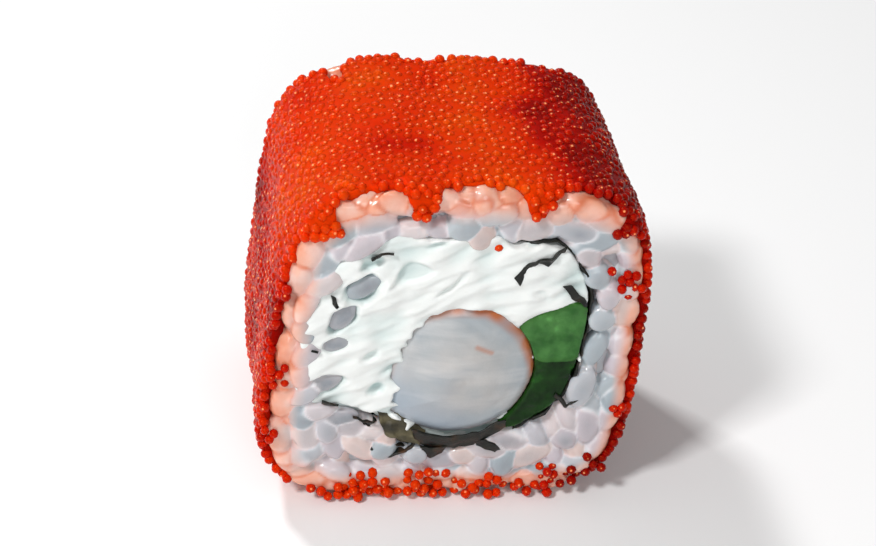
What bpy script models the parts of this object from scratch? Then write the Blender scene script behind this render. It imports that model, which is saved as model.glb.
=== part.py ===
"""One slice of an inside-out sushi roll: shrimp, soft cheese and cucumber in nori and rice, rolled in fish roe.

The slice stands on its side, its two cut faces upright. +Z is up, the cut face that is looked at faces -Y, and X
runs across it. Every filling runs right through, from the front cut to the back one. All lengths are in metres.
"""

import math
import random

import bmesh
import bpy
import numpy as np
from mathutils import Matrix, Vector, noise

MM = 0.001

# Driving dimensions of the slice.
WIDTH = 46 * MM
HEIGHT = 44.5 * MM
DEPTH = 31 * MM
CUT = DEPTH / 2  # how far each cut face is from the middle
CLEARANCE = 0.3 * MM  # between pieces that touch on the real slice

# Outline of the slice across X and Z: a squareness of 2 is an ellipse, and more is squarer.
SHOULDER_SQUARENESS = 4.0
FOOT_SQUARENESS = 5.0
LEFT_LEAN = 3.5 * MM  # how far the left side leans in at the top

# The coat of roe. Along the top of both cuts it has come away in bays, and only its tongues reach the cut.
ROE_THICKNESS = 1.8 * MM
EGG_RADIUS = 0.75 * MM
EGG_UNEVENNESS = 0.08
EGG_PITCH = 2.1 * MM
EGG_RELIEF = 0.65 * MM  # from the top of an egg to the dip between eggs
COAT_LUMPS = 0.5 * MM
COAT_LUMP_SIZE = 9 * MM
RIM_SETBACK = 0.4 * MM
RIM_RAGGEDNESS = 0.3 * MM
BAY_SETBACK = 3.2 * MM
BAY_FLOOR = 38.3 * MM  # the bays deepen from this height
BAY_BRINK = 2.6 * MM  # over this much height
FRONT_TONGUES = (-17.5 * MM, -5.2 * MM, 8.2 * MM, 21 * MM)
BACK_TONGUES = (-20 * MM, -7.5 * MM, 5 * MM, 18 * MM)
TONGUE_HALF_WIDTH = 0.8 * MM
TONGUE_SLOPE = 1.0 * MM
RIM_EGGS = 24
STRAY_EGGS = 14
FOOT_LIFT = 0.65 * MM  # of the eggs round the pressed foot
FOOT_HALF_WIDTH = 13.5 * MM
FOOT_HALF_DEPTH = 11 * MM
FOOT_EDGE = 0.2 * MM  # the height of the lowest eggs beside the foot

# The rice. Whole grains stand on both cuts and lie in the bays of the coat.
GRAIN_LENGTH = 6.2 * MM
GRAIN_WIDTH = 3.1 * MM
GRAIN_SPACING = 3.2 * MM
GRAIN_TRIES = 2000  # throws of the dice for places on each cut
GRAIN_MARGIN = 0.7 * MM  # from a grain's middle to the edge of the rice
GRAIN_TILT = 0.25
RICE_SETBACK = 1.3 * MM  # of the rice behind the standing grains, from the cut
BAY_GRAIN_LENGTH = 5.0 * MM
BAY_GRAIN_SPACING = 4.7 * MM
BAY_GRAIN_SINK = 1.45 * MM  # of its middle below the outside of the coat
BAY_GRAIN_SETBACK = 0.75 * MM  # of its middle from the cut

# The nori, a strip wound once round the filling with its ends lapped. Turns start where the lap does.
NORI_THICKNESS = 0.5 * MM
NORI_LAP = 0.11  # of a turn
NORI_STEP_RUN = 0.12  # of a turn, over which the strip steps out to lap
NORI_COLUMNS = 52
NORI_SETBACK = 0.2 * MM
NORI_RAGGEDNESS = 0.5 * MM

# Relief of the cut faces of the soft fillings.
SMEAR = 0.75 * MM
SHRIMP_SWELL = 0.35 * MM

# Outlines on the cut face, in millimetres across and up, anticlockwise.
FILLING_OUTLINE = [
    (-8, 12), (-4.3, 9.0), (1, 8.2), (8.2, 10.6), (13.6, 15.4), (15.2, 23.6), (14.8, 30.6), (11, 36.2),
    (2, 35.7), (-8, 36.1), (-14.2, 31.6), (-17, 23.2), (-15.2, 14.6),
]
SHRIMP_OUTLINE = [
    (10.2, 19.2), (8.6, 24.0), (5.0, 27.4), (0.2, 28.2), (-4.0, 26.2), (-6.2, 21.6), (-6.9, 17.0), (-6.5, 13.2),
    (-3.4, 10.9), (1.0, 9.7), (5.4, 10.9), (8.8, 14.0),
]
CUCUMBER_CORNERS = {
    "cucumber_upper": [(10.2, 20.9), (13.9, 20.9), (15.2, 24.6), (14.3, 28.4), (10.4, 27.9), (7.0, 25.8)],
    "cucumber_lower": [(6.4, 10.6), (10.6, 12.0), (14.6, 16.2), (14.4, 20.5), (9.8, 20.5), (9.4, 15.4)],
}
CORNER_ROUNDING = 0.2  # of each side, cut off twice

# How many points an outline has.
FINE = 400
RICE_POINTS = 56
FILLING_POINTS = 40
CHEESE_POINTS = 26
SHRIMP_POINTS = 24
CUCUMBER_POINTS = 16

CHANCE = random.Random(7)
MANY_BODIES = "MANIFOLD"  # the solver for unions of many bodies and their cuts, which the exact one leaves open


def evenly(points, count):
    """The same closed outline, with count points an equal distance apart."""
    closed = np.vstack((points, points[:1]))
    run = np.concatenate(([0], np.cumsum(np.linalg.norm(np.diff(closed, axis=0), axis=1))))
    places = np.linspace(0, run[-1], count, endpoint=False)
    return np.column_stack([np.interp(places, run, closed[:, axis]) for axis in (0, 1)])


def smooth_loop(corners, count):
    """An outline in metres, on a smooth closed curve through points given in millimetres."""
    here = np.array(corners) * MM
    before, after, beyond = (np.roll(here, shift, axis=0) for shift in (1, -1, -2))
    share = np.linspace(0, 1, 12, endpoint=False)[:, None, None]
    slope = after - before
    bend = 2 * before - 5 * here + 4 * after - beyond
    twist = 3 * here - before - 3 * after + beyond
    curve = here + 0.5 * (slope * share + bend * share**2 + twist * share**3)
    return evenly(curve.transpose(1, 0, 2).reshape(-1, 2), count)


def cornered_loop(corners, count):
    """An outline in metres that rounds off corners given in millimetres."""
    outline = np.array(corners) * MM
    near, far = 1 - CORNER_ROUNDING, CORNER_ROUNDING
    for _ in range(2):
        after = np.roll(outline, -1, axis=0)
        outline = np.stack((near * outline + far * after, far * outline + near * after), axis=1).reshape(-1, 2)
    return evenly(outline, count)


def normals(outline):
    """The outward direction at each point of an anticlockwise outline."""
    along = np.roll(outline, -1, axis=0) - np.roll(outline, 1, axis=0)
    out = np.column_stack((along[:, 1], -along[:, 0]))
    return out / np.linalg.norm(out, axis=1)[:, None]


def grown(outline, distance):
    """The outline moved outwards by distance, or inwards where that is negative."""
    return outline + normals(outline) * distance


def slice_outline(count):
    """Outline of the whole slice: pressed square at the foot, rounder at the shoulders, its left side leaning in."""
    angle = np.linspace(0, 2 * np.pi, 721)[:-1]
    across, up = np.cos(angle), np.sin(angle)
    power = 2 / np.where(up < 0, FOOT_SQUARENESS, SHOULDER_SQUARENESS)
    x = WIDTH / 2 * np.sign(across) * np.abs(across) ** power
    z = (HEIGHT - FOOT_LIFT) / 2 * (1 + np.sign(up) * np.abs(up) ** power)
    x = x + LEFT_LEAN * (z / HEIGHT) * (0.5 - x / WIDTH)
    return evenly(np.column_stack((x, z + FOOT_LIFT)), count)


def inside(outline, x, z):
    """Whether a point of the cut face is inside the outline."""
    x1, z1 = outline.T
    x2, z2 = np.roll(outline, -1, axis=0).T
    crosses = (z1 > z) != (z2 > z)
    rise = np.where(z2 == z1, 1, z2 - z1)
    return bool((crosses & (x < x1 + (z - z1) * (x2 - x1) / rise)).sum() % 2)


def share_between(value, low, high):
    """How far value has come from low to high, kept between 0 and 1."""
    return min(max((value - low) / (high - low), 0), 1)


def lumps(x, y, z, size):
    """Smooth unevenness between about -1 and 1, with hills this size apart."""
    return noise.noise(Vector((x, y, z)) / size)


def material(name, colour, roughness):
    """A plain food finish. Nothing here is metal."""
    made = bpy.data.materials.new(name)
    made.use_nodes = True
    shader = made.node_tree.nodes["Principled BSDF"]
    shader.inputs["Base Color"].default_value = (*colour, 1)
    shader.inputs["Roughness"].default_value = roughness
    shader.inputs["Metallic"].default_value = 0
    return made


def add(name, form, collection):
    """A new object in the collection from a bmesh, which is freed."""
    bmesh.ops.triangulate(form, faces=form.faces)
    bmesh.ops.recalc_face_normals(form, faces=form.faces)
    mesh = bpy.data.meshes.new(name)
    form.to_mesh(mesh)
    form.free()
    made = bpy.data.objects.new(name, mesh)
    collection.objects.link(made)
    return made


def apply_modifiers(target):
    """Puts what the object's modifiers make into its mesh."""
    graph = bpy.context.evaluated_depsgraph_get()
    mesh = bpy.data.meshes.new_from_object(target.evaluated_get(graph))
    target.modifiers.clear()
    target.data = mesh


def prism(name, outline, half_depth, collection):
    """The outline carried straight through the slice, half_depth each way from the middle."""
    form = bmesh.new()
    front = form.faces.new([form.verts.new((x, -half_depth, z)) for x, z in outline])
    walls = bmesh.ops.extrude_face_region(form, geom=[front])["geom"]
    far_side = [item for item in walls if isinstance(item, bmesh.types.BMVert)]
    bmesh.ops.translate(form, verts=far_side, vec=(0, 2 * half_depth, 0))
    return add(name, form, collection)


def loft(name, rings, closed_on_itself, collection):
    """Rings of as many points each, joined in order. The first meets the last, or both are filled."""
    form = bmesh.new()
    loops = [[form.verts.new(point) for point in ring] for ring in rings]
    joins = list(zip(loops, loops[1:]))
    if closed_on_itself:
        joins.append((loops[-1], loops[0]))
    else:
        form.faces.new(loops[0])
        form.faces.new(loops[-1])
    for here, beyond in joins:
        for point in range(len(here)):
            form.faces.new((here[point - 1], here[point], beyond[point], beyond[point - 1]))
    return add(name, form, collection)


def filling(name, outline, half_stations, relief, collection):
    """A filling with this outline that runs through the slice and swells a little at both cuts.

    half_stations run from the front cut to the middle, each as (distance behind the cut, share of the outline's
    size). relief(x, z) is added to how far the cut face stands out.
    """
    centre = outline.mean(axis=0)
    rings = []
    for side, stations in ((-1, half_stations), (1, half_stations[::-1])):
        for behind, share in stations:
            ring = centre + (outline - centre) * share
            on_the_cut = 1 - share_between(behind, 0, 2 * MM)
            rings.append([(x, side * (CUT - behind + on_the_cut * relief(x, side, z)), z) for x, z in ring])
    return loft(name, rings, False, collection)


def boolean(target, operation, other, solver="EXACT"):
    """Cuts, keeps or joins with another object, or with all those of a collection, and removes them."""
    step = target.modifiers.new(operation.lower(), "BOOLEAN")
    step.operation = operation
    step.solver = solver
    if isinstance(other, bpy.types.Collection):
        step.operand_type = "COLLECTION"
        step.collection = other
        used = list(other.objects)
    else:
        step.object = other
        used = [other]
    apply_modifiers(target)
    for helper in used:
        bpy.data.objects.remove(helper)


def keep_main_body(target):
    """Drops scraps that a cut has left loose."""
    form = bmesh.new()
    form.from_mesh(target.data)
    unseen = set(form.verts)
    bodies = []
    while unseen:
        fringe = [unseen.pop()]
        body = set(fringe)
        while fringe:
            here = fringe.pop()
            found = {edge.other_vert(here) for edge in here.link_edges} & unseen
            unseen -= found
            body |= found
            fringe.extend(found)
        bodies.append(body)
    main_body = max(bodies, key=len)
    scraps = [vertex for vertex in form.verts if vertex not in main_body]
    bmesh.ops.delete(form, geom=scraps, context="VERTS")
    form.to_mesh(target.data)
    form.free()


def ball(name, place, turn, size, collection):
    """A small faceted ellipsoid: an egg, or a grain of rice."""
    form = bmesh.new()
    bmesh.ops.create_uvsphere(form, u_segments=5, v_segments=4, radius=1)
    matrix = Matrix.Translation(place) @ turn @ Matrix.Diagonal((*size, 1))
    bmesh.ops.transform(form, matrix=matrix, verts=form.verts)
    return add(name, form, collection)


def grain(name, place, length, angle, tilt, collection):
    """One cooked grain of rice, turned by angle on the cut face and tilted out of it."""
    swell = CHANCE.uniform(0.9, 1.12)
    turn = Matrix.Rotation(angle, 4, "Y") @ Matrix.Rotation(tilt, 4, "X")
    size = (GRAIN_WIDTH / 2, GRAIN_WIDTH / 2 * swell, length / 2 * swell)
    return ball(name, place, turn, size, collection)


def coat_setback(x, z, side):
    """How far behind the cut the coat's rim is: side is -1 at the front and 1 at the back."""
    tongues = FRONT_TONGUES if side < 0 else BACK_TONGUES
    away = min(abs(x - tongue) for tongue in tongues) - TONGUE_HALF_WIDTH
    bay = share_between(away, 0, TONGUE_SLOPE) * share_between(z, BAY_FLOOR, BAY_FLOOR + BAY_BRINK)
    return RIM_SETBACK + RIM_RAGGEDNESS * lumps(x, side, z, 3 * MM) + (BAY_SETBACK - RIM_SETBACK) * bay


def press_foot(x, y, z):
    """Height of a point of the coat once the foot is pressed flat on the plate."""
    if z > 2 * FOOT_LIFT:
        return z
    if abs(x) < FOOT_HALF_WIDTH and abs(y) < FOOT_HALF_DEPTH:
        return 0
    return max(z, FOOT_EDGE)


def coat_rings():
    """Rings of the coat: along its outside from front to back, over the back rim, forward inside, over the front."""
    step = EGG_PITCH / 2**0.5
    around = np.linalg.norm(np.diff(slice_outline(FINE), axis=0), axis=1).sum()
    outline = slice_outline(2 * round(around / step / 2))
    out = normals(outline)
    columns = range(len(outline))
    front = [coat_setback(x, z, -1) - CUT for x, z in outline]
    back = [CUT - coat_setback(x, z, 1) for x, z in outline]
    rows = round(DEPTH / step)

    def bump(column, row):
        """Eggs stand out on every other point, as on a chessboard."""
        return 0.5 - (column + row) % 2

    def outside(column, row):
        x, z = outline[column]
        y = front[column] + (back[column] - front[column]) * row / rows
        height = EGG_RELIEF * bump(column, row) * CHANCE.uniform(0.7, 1.15)
        height += COAT_LUMPS * lumps(x, y, z, COAT_LUMP_SIZE)
        if 0 < row < rows:
            y += CHANCE.uniform(-0.14, 0.14) * EGG_PITCH
        x, z = outline[column] + out[column] * height
        return x, y, press_foot(x, y, z)

    def rim(column, y):
        x, z = outline[column] - out[column] * ROE_THICKNESS / 2
        y += math.copysign(EGG_RELIEF * (0.4 + 0.7 * bump(column, 1)), y)
        return x, y, press_foot(x, y, z)

    bore = grown(outline, -ROE_THICKNESS)
    rings = [[outside(column, row) for column in columns] for row in range(rows + 1)]
    rings.append([rim(column, back[column]) for column in columns])
    rings.append([(bore[column][0], back[column], bore[column][1]) for column in columns])
    rings.append([(bore[column][0], front[column], bore[column][1]) for column in columns])
    rings.append([rim(column, front[column]) for column in columns])
    return rings


def lay_eggs(helpers):
    """Whole eggs, on the coat's rims and here and there on its outside."""
    outline = slice_outline(FINE)
    out = normals(outline)
    for count in range(RIM_EGGS + STRAY_EGGS):
        point = CHANCE.randrange(FINE)
        if count < RIM_EGGS:
            side = 2 * (count % 2) - 1
            y = side * (CUT - coat_setback(*outline[point], side))
            x, z = outline[point] - out[point] * ROE_THICKNESS / 2
        else:
            y = CHANCE.uniform(-0.9, 0.9) * CUT
            x, z = outline[point] + out[point] * CHANCE.uniform(-0.1, 0.35) * MM
        radius = EGG_RADIUS * CHANCE.uniform(1 - EGG_UNEVENNESS, 1 + EGG_UNEVENNESS)
        if z > radius:
            ball(f"egg_{count}", (x, y, z), Matrix(), (radius, radius, radius), helpers)


def roe_coat(collection, helpers):
    """The sleeve of eggs round the rice: bumps of an egg's size all over, and some whole eggs."""
    coat = loft("roe_coat", coat_rings(), True, collection)
    lay_eggs(helpers)
    boolean(coat, "UNION", helpers, MANY_BODIES)
    keep_main_body(coat)
    return coat


def lap_step(turn):
    """How far out the strip of nori has stepped to lap over its own start, from 0 to 1."""
    return share_between(turn, 1 - NORI_STEP_RUN, 1)


def nori_sheet(collection):
    """The strip of nori, wound once round the filling: its outer end laps over its inner one."""
    inner_face = smooth_loop(FILLING_OUTLINE, FINE)
    out = normals(inner_face)
    strip = bmesh.new()
    bmesh.ops.create_grid(strip, x_segments=NORI_COLUMNS, y_segments=2, size=1)
    for vertex in strip.verts:
        turn = (vertex.co.x + 1) / 2 * (1 + NORI_LAP)
        across = vertex.co.y
        point = round(turn * FINE) % FINE
        lift = CLEARANCE + NORI_THICKNESS / 2 + (NORI_THICKNESS + CLEARANCE) * lap_step(turn)
        x, z = inner_face[point] + out[point] * lift
        ragged = NORI_RAGGEDNESS * lumps(x, across, z, 2.5 * MM)
        vertex.co = (x, across * (CUT - NORI_SETBACK + ragged), z)
    made = add("nori", strip, collection)
    wall = made.modifiers.new("thickness", "SOLIDIFY")
    wall.thickness = NORI_THICKNESS
    wall.offset = 0
    apply_modifiers(made)
    return made


def room_for_nori():
    """Outline of the hole through the rice: clear of the nori all round, and of its lap."""
    face = smooth_loop(FILLING_OUTLINE, 4 * FILLING_POINTS)
    turns = np.linspace(0, 1, len(face), endpoint=False)
    over_the_lap = [lap_step(turn) + share_between(turn, NORI_LAP + 0.03, NORI_LAP + 0.01) for turn in turns]
    room = 2 * CLEARANCE + NORI_THICKNESS + (NORI_THICKNESS + CLEARANCE) * np.array(over_the_lap)
    return evenly(face + normals(face) * room[:, None], RICE_POINTS)


def grain_places(outer, inner):
    """Where grains lie on a cut, as (x, z, angle): apart from one another, and between the two outlines."""
    field, hole = grown(outer, -GRAIN_MARGIN), grown(inner, GRAIN_MARGIN)
    places = []
    for _ in range(GRAIN_TRIES):
        x, z = CHANCE.uniform(-0.5, 0.5) * WIDTH, CHANCE.uniform(0, 1) * HEIGHT
        angle = CHANCE.uniform(0, math.pi)
        along = 0.4 * GRAIN_LENGTH * Vector((math.sin(angle), math.cos(angle)))
        spots = [Vector((x, z)) + along * share for share in (-1, 0, 1)]
        fits = all(inside(field, *spot) and not inside(hole, *spot) for spot in spots)
        if fits and all(math.hypot(x - other[0], z - other[1]) > GRAIN_SPACING for other in places):
            places.append((x, z, angle))
    return places


def lay_bay_grains(helpers):
    """Grains that lie along the top of both cuts, where the coat has come away."""
    outline = slice_outline(FINE)
    out = normals(outline)
    top = [point for point in range(FINE) if outline[point][1] > BAY_FLOOR - BAY_BRINK]
    tongue_foot = TONGUE_HALF_WIDTH + TONGUE_SLOPE
    for side, tongues in ((-1, FRONT_TONGUES), (1, BACK_TONGUES)):
        for bay, (left, right) in enumerate(zip(tongues, tongues[1:])):
            room = right - left - 2 * tongue_foot - BAY_GRAIN_LENGTH
            grains = int(max(room, 0) / BAY_GRAIN_SPACING) + 1
            for number in range(grains):
                x = (left + right) / 2 + (number - (grains - 1) / 2) * BAY_GRAIN_SPACING
                point = min(top, key=lambda candidate: abs(outline[candidate][0] - x))
                x, z = outline[point] - out[point] * BAY_GRAIN_SINK
                place = (x, side * (CUT - BAY_GRAIN_SETBACK), z)
                angle = math.atan2(out[point][1], -out[point][0]) + CHANCE.uniform(-0.12, 0.12)
                grain(f"bay_grain_{side}_{bay}_{number}", place, BAY_GRAIN_LENGTH, angle, 0, helpers)


def rice(collection, helpers):
    """The wall of pressed rice between the nori and the roe, with its whole grains."""
    outer = evenly(grown(slice_outline(4 * RICE_POINTS), -ROE_THICKNESS - CLEARANCE), RICE_POINTS)
    inner = room_for_nori()
    body = prism("rice", outer, CUT - RICE_SETBACK, collection)
    for side in (-1, 1):
        for number, (x, z, angle) in enumerate(grain_places(outer, inner)):
            place = (x, side * (CUT - RICE_SETBACK + CHANCE.uniform(0.2, 0.55) * MM), z)
            tilt = CHANCE.uniform(-GRAIN_TILT, GRAIN_TILT)
            grain(f"grain_{side}_{number}", place, GRAIN_LENGTH, angle, tilt, helpers)
    boolean(body, "UNION", helpers, MANY_BODIES)
    boolean(body, "INTERSECT", prism("rice_envelope", outer, DEPTH, helpers), MANY_BODIES)
    lay_bay_grains(helpers)
    boolean(body, "UNION", helpers, MANY_BODIES)
    boolean(body, "DIFFERENCE", prism("rice_bore", inner, DEPTH, helpers), MANY_BODIES)
    keep_main_body(body)
    return body


def shrimp_room(helpers):
    """A cutter that leaves the clearance all round the shrimp, through the whole slice."""
    return prism("shrimp_room", grown(smooth_loop(SHRIMP_OUTLINE, SHRIMP_POINTS), CLEARANCE), DEPTH, helpers)


def hold_in_nori(target, helpers):
    """Trims a filling to what the nori holds."""
    boolean(target, "INTERSECT", prism("held", smooth_loop(FILLING_OUTLINE, FILLING_POINTS), DEPTH, helpers))


def shrimp(collection):
    """The tail meat of one shrimp, running through the slice."""

    def swell(x, side, z):
        return SHRIMP_SWELL * lumps(x, side, z, 5 * MM)

    stations = [(-0.5 * MM, 0.35), (-0.4 * MM, 0.7), (0, 0.93), (1 * MM, 1), (10 * MM, 1)]
    return filling("shrimp", smooth_loop(SHRIMP_OUTLINE, SHRIMP_POINTS), stations, swell, collection)


def cucumber(name, collection, helpers):
    """One strip of cucumber, pressed between the shrimp and the nori."""
    outline = cornered_loop(CUCUMBER_CORNERS[name], CUCUMBER_POINTS)
    stations = [(-0.1 * MM, 0.5), (0.1 * MM, 0.9), (0.7 * MM, 1)]
    strip = filling(name, outline, stations, lambda x, side, z: 0, collection)
    hold_in_nori(strip, helpers)
    boolean(strip, "DIFFERENCE", shrimp_room(helpers))
    keep_main_body(strip)
    return strip


def cream_cheese(collection, helpers):
    """The soft cheese that fills the nori round the shrimp and the cucumber, smeared by the knife on both cuts."""

    def smear(x, side, z):
        return SMEAR * (lumps(x, side, z, 4 * MM) + 0.3 * lumps(x, side, z, 1.6 * MM))

    outline = grown(smooth_loop(FILLING_OUTLINE, CHEESE_POINTS), CLEARANCE)
    stations = [(0, 0.25), (0, 0.5), (0, 0.75), (0, 0.93), (1.6 * MM, 1)]
    body = filling("cream_cheese", outline, stations, smear, collection)
    hold_in_nori(body, helpers)
    boolean(body, "DIFFERENCE", shrimp_room(helpers))
    for name, corners in CUCUMBER_CORNERS.items():
        room = grown(cornered_loop(corners, CUCUMBER_POINTS), CLEARANCE)
        boolean(body, "DIFFERENCE", prism(f"{name}_room", room, DEPTH, helpers))
    keep_main_body(body)
    return body


def stand_on_origin(parts):
    """Moves the slice so that the middle of its bounding box's underside is the origin."""
    points = np.array([vertex.co for part in parts for vertex in part.data.vertices])
    low, high = points.min(axis=0), points.max(axis=0)
    shift = Vector((-(low[0] + high[0]) / 2, -(low[1] + high[1]) / 2, -low[2]))
    for part in parts:
        part.location = shift


def main():
    for left_over in list(bpy.data.objects):
        bpy.data.objects.remove(left_over)
    pieces = bpy.data.collections.new("california_roll_slice")
    helpers = bpy.data.collections.new("helpers")
    for collection in (pieces, helpers):
        bpy.context.scene.collection.children.link(collection)

    green = material("cucumber", (0.06, 0.20, 0.04), 0.35)
    dressed = [
        (roe_coat(pieces, helpers), material("roe", (0.74, 0.05, 0.008), 0.25)),
        (rice(pieces, helpers), material("rice", (0.72, 0.64, 0.60), 0.4)),
        (nori_sheet(pieces), material("nori", (0.012, 0.016, 0.010), 0.45)),
        (cream_cheese(pieces, helpers), material("cream_cheese", (0.86, 0.88, 0.85), 0.55)),
        (shrimp(pieces), material("shrimp", (0.55, 0.55, 0.56), 0.35)),
        (cucumber("cucumber_upper", pieces, helpers), green),
        (cucumber("cucumber_lower", pieces, helpers), green),
    ]
    for piece, finish in dressed:
        piece.data.materials.clear()
        piece.data.materials.append(finish)
    stand_on_origin([piece for piece, _ in dressed])


main()
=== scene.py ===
# %% [markdown]
# # A slice of a sushi roll, from plain solids to something good enough to eat
#
# The packed solids give the slice its size and its seven pieces: a coat of fish roe, a wall of rice, a
# sheet of nori, soft cheese, a shrimp's tail meat and two strips of cucumber. This lesson makes each of
# them again with the fine surface that the real food has, and gives each one a finish made of shader nodes.
#
# The order is from the inside out, as the roll is made: the fillings, the nori, the rice, and last the roe.

# %% Load the solids
import math
import random

import bmesh
import bpy
import numpy as np
from mathutils import Matrix, Quaternion, Vector, noise


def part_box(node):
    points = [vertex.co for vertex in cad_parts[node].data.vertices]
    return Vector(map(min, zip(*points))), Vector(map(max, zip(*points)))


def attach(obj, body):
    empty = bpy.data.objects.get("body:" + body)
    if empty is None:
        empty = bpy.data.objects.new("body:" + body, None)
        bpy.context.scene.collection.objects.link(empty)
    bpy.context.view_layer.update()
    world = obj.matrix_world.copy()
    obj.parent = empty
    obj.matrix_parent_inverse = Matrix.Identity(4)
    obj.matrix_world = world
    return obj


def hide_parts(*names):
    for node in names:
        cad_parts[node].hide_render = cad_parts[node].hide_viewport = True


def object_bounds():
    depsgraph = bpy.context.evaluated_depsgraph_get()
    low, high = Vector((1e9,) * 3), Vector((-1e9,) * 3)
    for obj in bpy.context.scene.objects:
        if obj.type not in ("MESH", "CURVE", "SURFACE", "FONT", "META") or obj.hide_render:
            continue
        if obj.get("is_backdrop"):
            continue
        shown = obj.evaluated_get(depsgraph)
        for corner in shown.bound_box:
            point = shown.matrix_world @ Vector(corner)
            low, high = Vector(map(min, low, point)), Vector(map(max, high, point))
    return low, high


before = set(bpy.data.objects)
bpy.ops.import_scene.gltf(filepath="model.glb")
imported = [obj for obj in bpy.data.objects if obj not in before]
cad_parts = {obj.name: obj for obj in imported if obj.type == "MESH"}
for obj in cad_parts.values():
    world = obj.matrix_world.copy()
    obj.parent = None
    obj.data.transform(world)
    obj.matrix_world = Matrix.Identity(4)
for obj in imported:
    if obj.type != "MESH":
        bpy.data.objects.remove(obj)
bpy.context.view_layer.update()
print("solids:", sorted(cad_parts))

# %% [markdown]
# ## The slice's own measures
#
# These are the measures that the solids were made with, in metres. The slice stands on its side with both
# cut faces upright. X runs across the cut face, Z is up, and Y runs through the slice, from the front cut
# at -Y to the back one. Its outline is a square with round corners, which are sharper the higher the
# squareness is, and the eggs round its pressed foot stay FOOT_LIFT above the floor. The outlines of the
# fillings are a few points on the cut face, in millimetres, anticlockwise.

# %% Measures
MM = 0.001
WIDTH, HEIGHT, DEPTH = 46 * MM, 44.5 * MM, 31 * MM
CUT = DEPTH / 2
SHOULDER_SQUARENESS, FOOT_SQUARENESS = 4.0, 5.0
LEFT_LEAN = 3.5 * MM
FOOT_LIFT = 0.65 * MM
ROE_THICKNESS = 1.8 * MM
NORI_THICKNESS = 0.5 * MM
CLEARANCE = 0.3 * MM

FILLING_OUTLINE = [
    (-8, 12), (-4.3, 9.0), (1, 8.2), (8.2, 10.6), (13.6, 15.4), (15.2, 23.6), (14.8, 30.6), (11, 36.2),
    (2, 35.7), (-8, 36.1), (-14.2, 31.6), (-17, 23.2), (-15.2, 14.6),
]
SHRIMP_OUTLINE = [
    (10.2, 19.2), (8.6, 24.0), (5.0, 27.4), (0.2, 28.2), (-4.0, 26.2), (-6.2, 21.6), (-6.9, 17.0),
    (-6.5, 13.2), (-3.4, 10.9), (1.0, 9.7), (5.4, 10.9), (8.8, 14.0),
]
UPPER_CUCUMBER = [(9.6, 20.2), (15.4, 20.4), (16.6, 24.6), (15.0, 29.4), (11.0, 27.9), (7.2, 25.9)]
LOWER_CUCUMBER = [(6.0, 10.4), (10.8, 11.0), (15.6, 15.4), (16.2, 21.3), (9.2, 21.3), (9.4, 15.4)]
print(f"a slice {WIDTH / MM:.0f} mm wide, {HEIGHT / MM:.1f} mm high and {DEPTH / MM:.0f} mm deep")

# %% [markdown]
# ## Outlines
#
# An outline is an array of points on the cut face. Everything in a roll follows one: the nori lies round
# the filling, and the rice and roe round that. So a few small helpers pay off: one spaces points evenly,
# one draws a smooth closed curve through a few of them, one moves an outline in or out, and one makes the
# outline of the slice itself.


# %% Helpers for outlines
def evenly(points, count):
    """The same closed outline, with count points an equal distance apart."""
    closed = np.vstack((points, points[:1]))
    run = np.concatenate(([0], np.cumsum(np.linalg.norm(np.diff(closed, axis=0), axis=1))))
    places = np.linspace(0, run[-1], count, endpoint=False)
    return np.column_stack([np.interp(places, run, closed[:, axis]) for axis in (0, 1)])


def smooth_loop(corners, count):
    """An outline on a smooth closed curve through points given in millimetres."""
    here = np.array(corners) * MM
    before, after, beyond = (np.roll(here, shift, axis=0) for shift in (1, -1, -2))
    share = np.linspace(0, 1, 12, endpoint=False)[:, None, None]
    slope = after - before
    bend = 2 * before - 5 * here + 4 * after - beyond
    twist = 3 * here - before - 3 * after + beyond
    curve = here + 0.5 * (slope * share + bend * share**2 + twist * share**3)
    return evenly(curve.transpose(1, 0, 2).reshape(-1, 2), count)


def normals(outline):
    """The outward direction at each point of an anticlockwise outline."""
    along = np.roll(outline, -1, axis=0) - np.roll(outline, 1, axis=0)
    out = np.column_stack((along[:, 1], -along[:, 0]))
    return out / np.linalg.norm(out, axis=1)[:, None]


def grown(outline, distance):
    """The outline moved outwards, or inwards where distance is negative."""
    return outline + normals(outline) * distance


def slice_outline(count):
    """Outline of the slice: square at the foot, rounder at the shoulders, its left side leaning in."""
    angle = np.linspace(0, 2 * np.pi, 721)[:-1]
    across, up = np.cos(angle), np.sin(angle)
    power = 2 / np.where(up < 0, FOOT_SQUARENESS, SHOULDER_SQUARENESS)
    x = WIDTH / 2 * np.sign(across) * np.abs(across) ** power
    z = (HEIGHT - FOOT_LIFT) / 2 * (1 + np.sign(up) * np.abs(up) ** power)
    x = x + LEFT_LEAN * (z / HEIGHT) * (0.5 - x / WIDTH)
    return evenly(np.column_stack((x, z + FOOT_LIFT)), count)


def distance_to(outline, points):
    """How far each point is from the outline's edge, positive inside it."""
    start, end = outline, np.roll(outline, -1, axis=0)
    side = end - start
    offset = points[:, None, :] - start[None]
    share = np.clip((offset * side).sum(2) / (side**2).sum(1), 0, 1)
    away = np.linalg.norm(offset - side * share[..., None], axis=2).min(1)
    x, z = points[:, :1], points[:, 1:]
    crosses = (start[:, 1] > z) != (end[:, 1] > z)
    rise = np.where(side[:, 1] == 0, 1, side[:, 1])
    within = (crosses & (x < start[:, 0] + (z - start[:, 1]) * side[:, 0] / rise)).sum(1) % 2
    return np.where(within, away, -away)


skin = slice_outline(480)
skin_out = normals(skin)
filling_edge = smooth_loop(FILLING_OUTLINE, 400)
shrimp_edge = smooth_loop(SHRIMP_OUTLINE, 200)
girth = np.linalg.norm(np.diff(np.vstack((skin, skin[:1])), axis=0), axis=1).sum()
print(f"the roll is {girth / MM:.0f} mm round")

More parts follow.
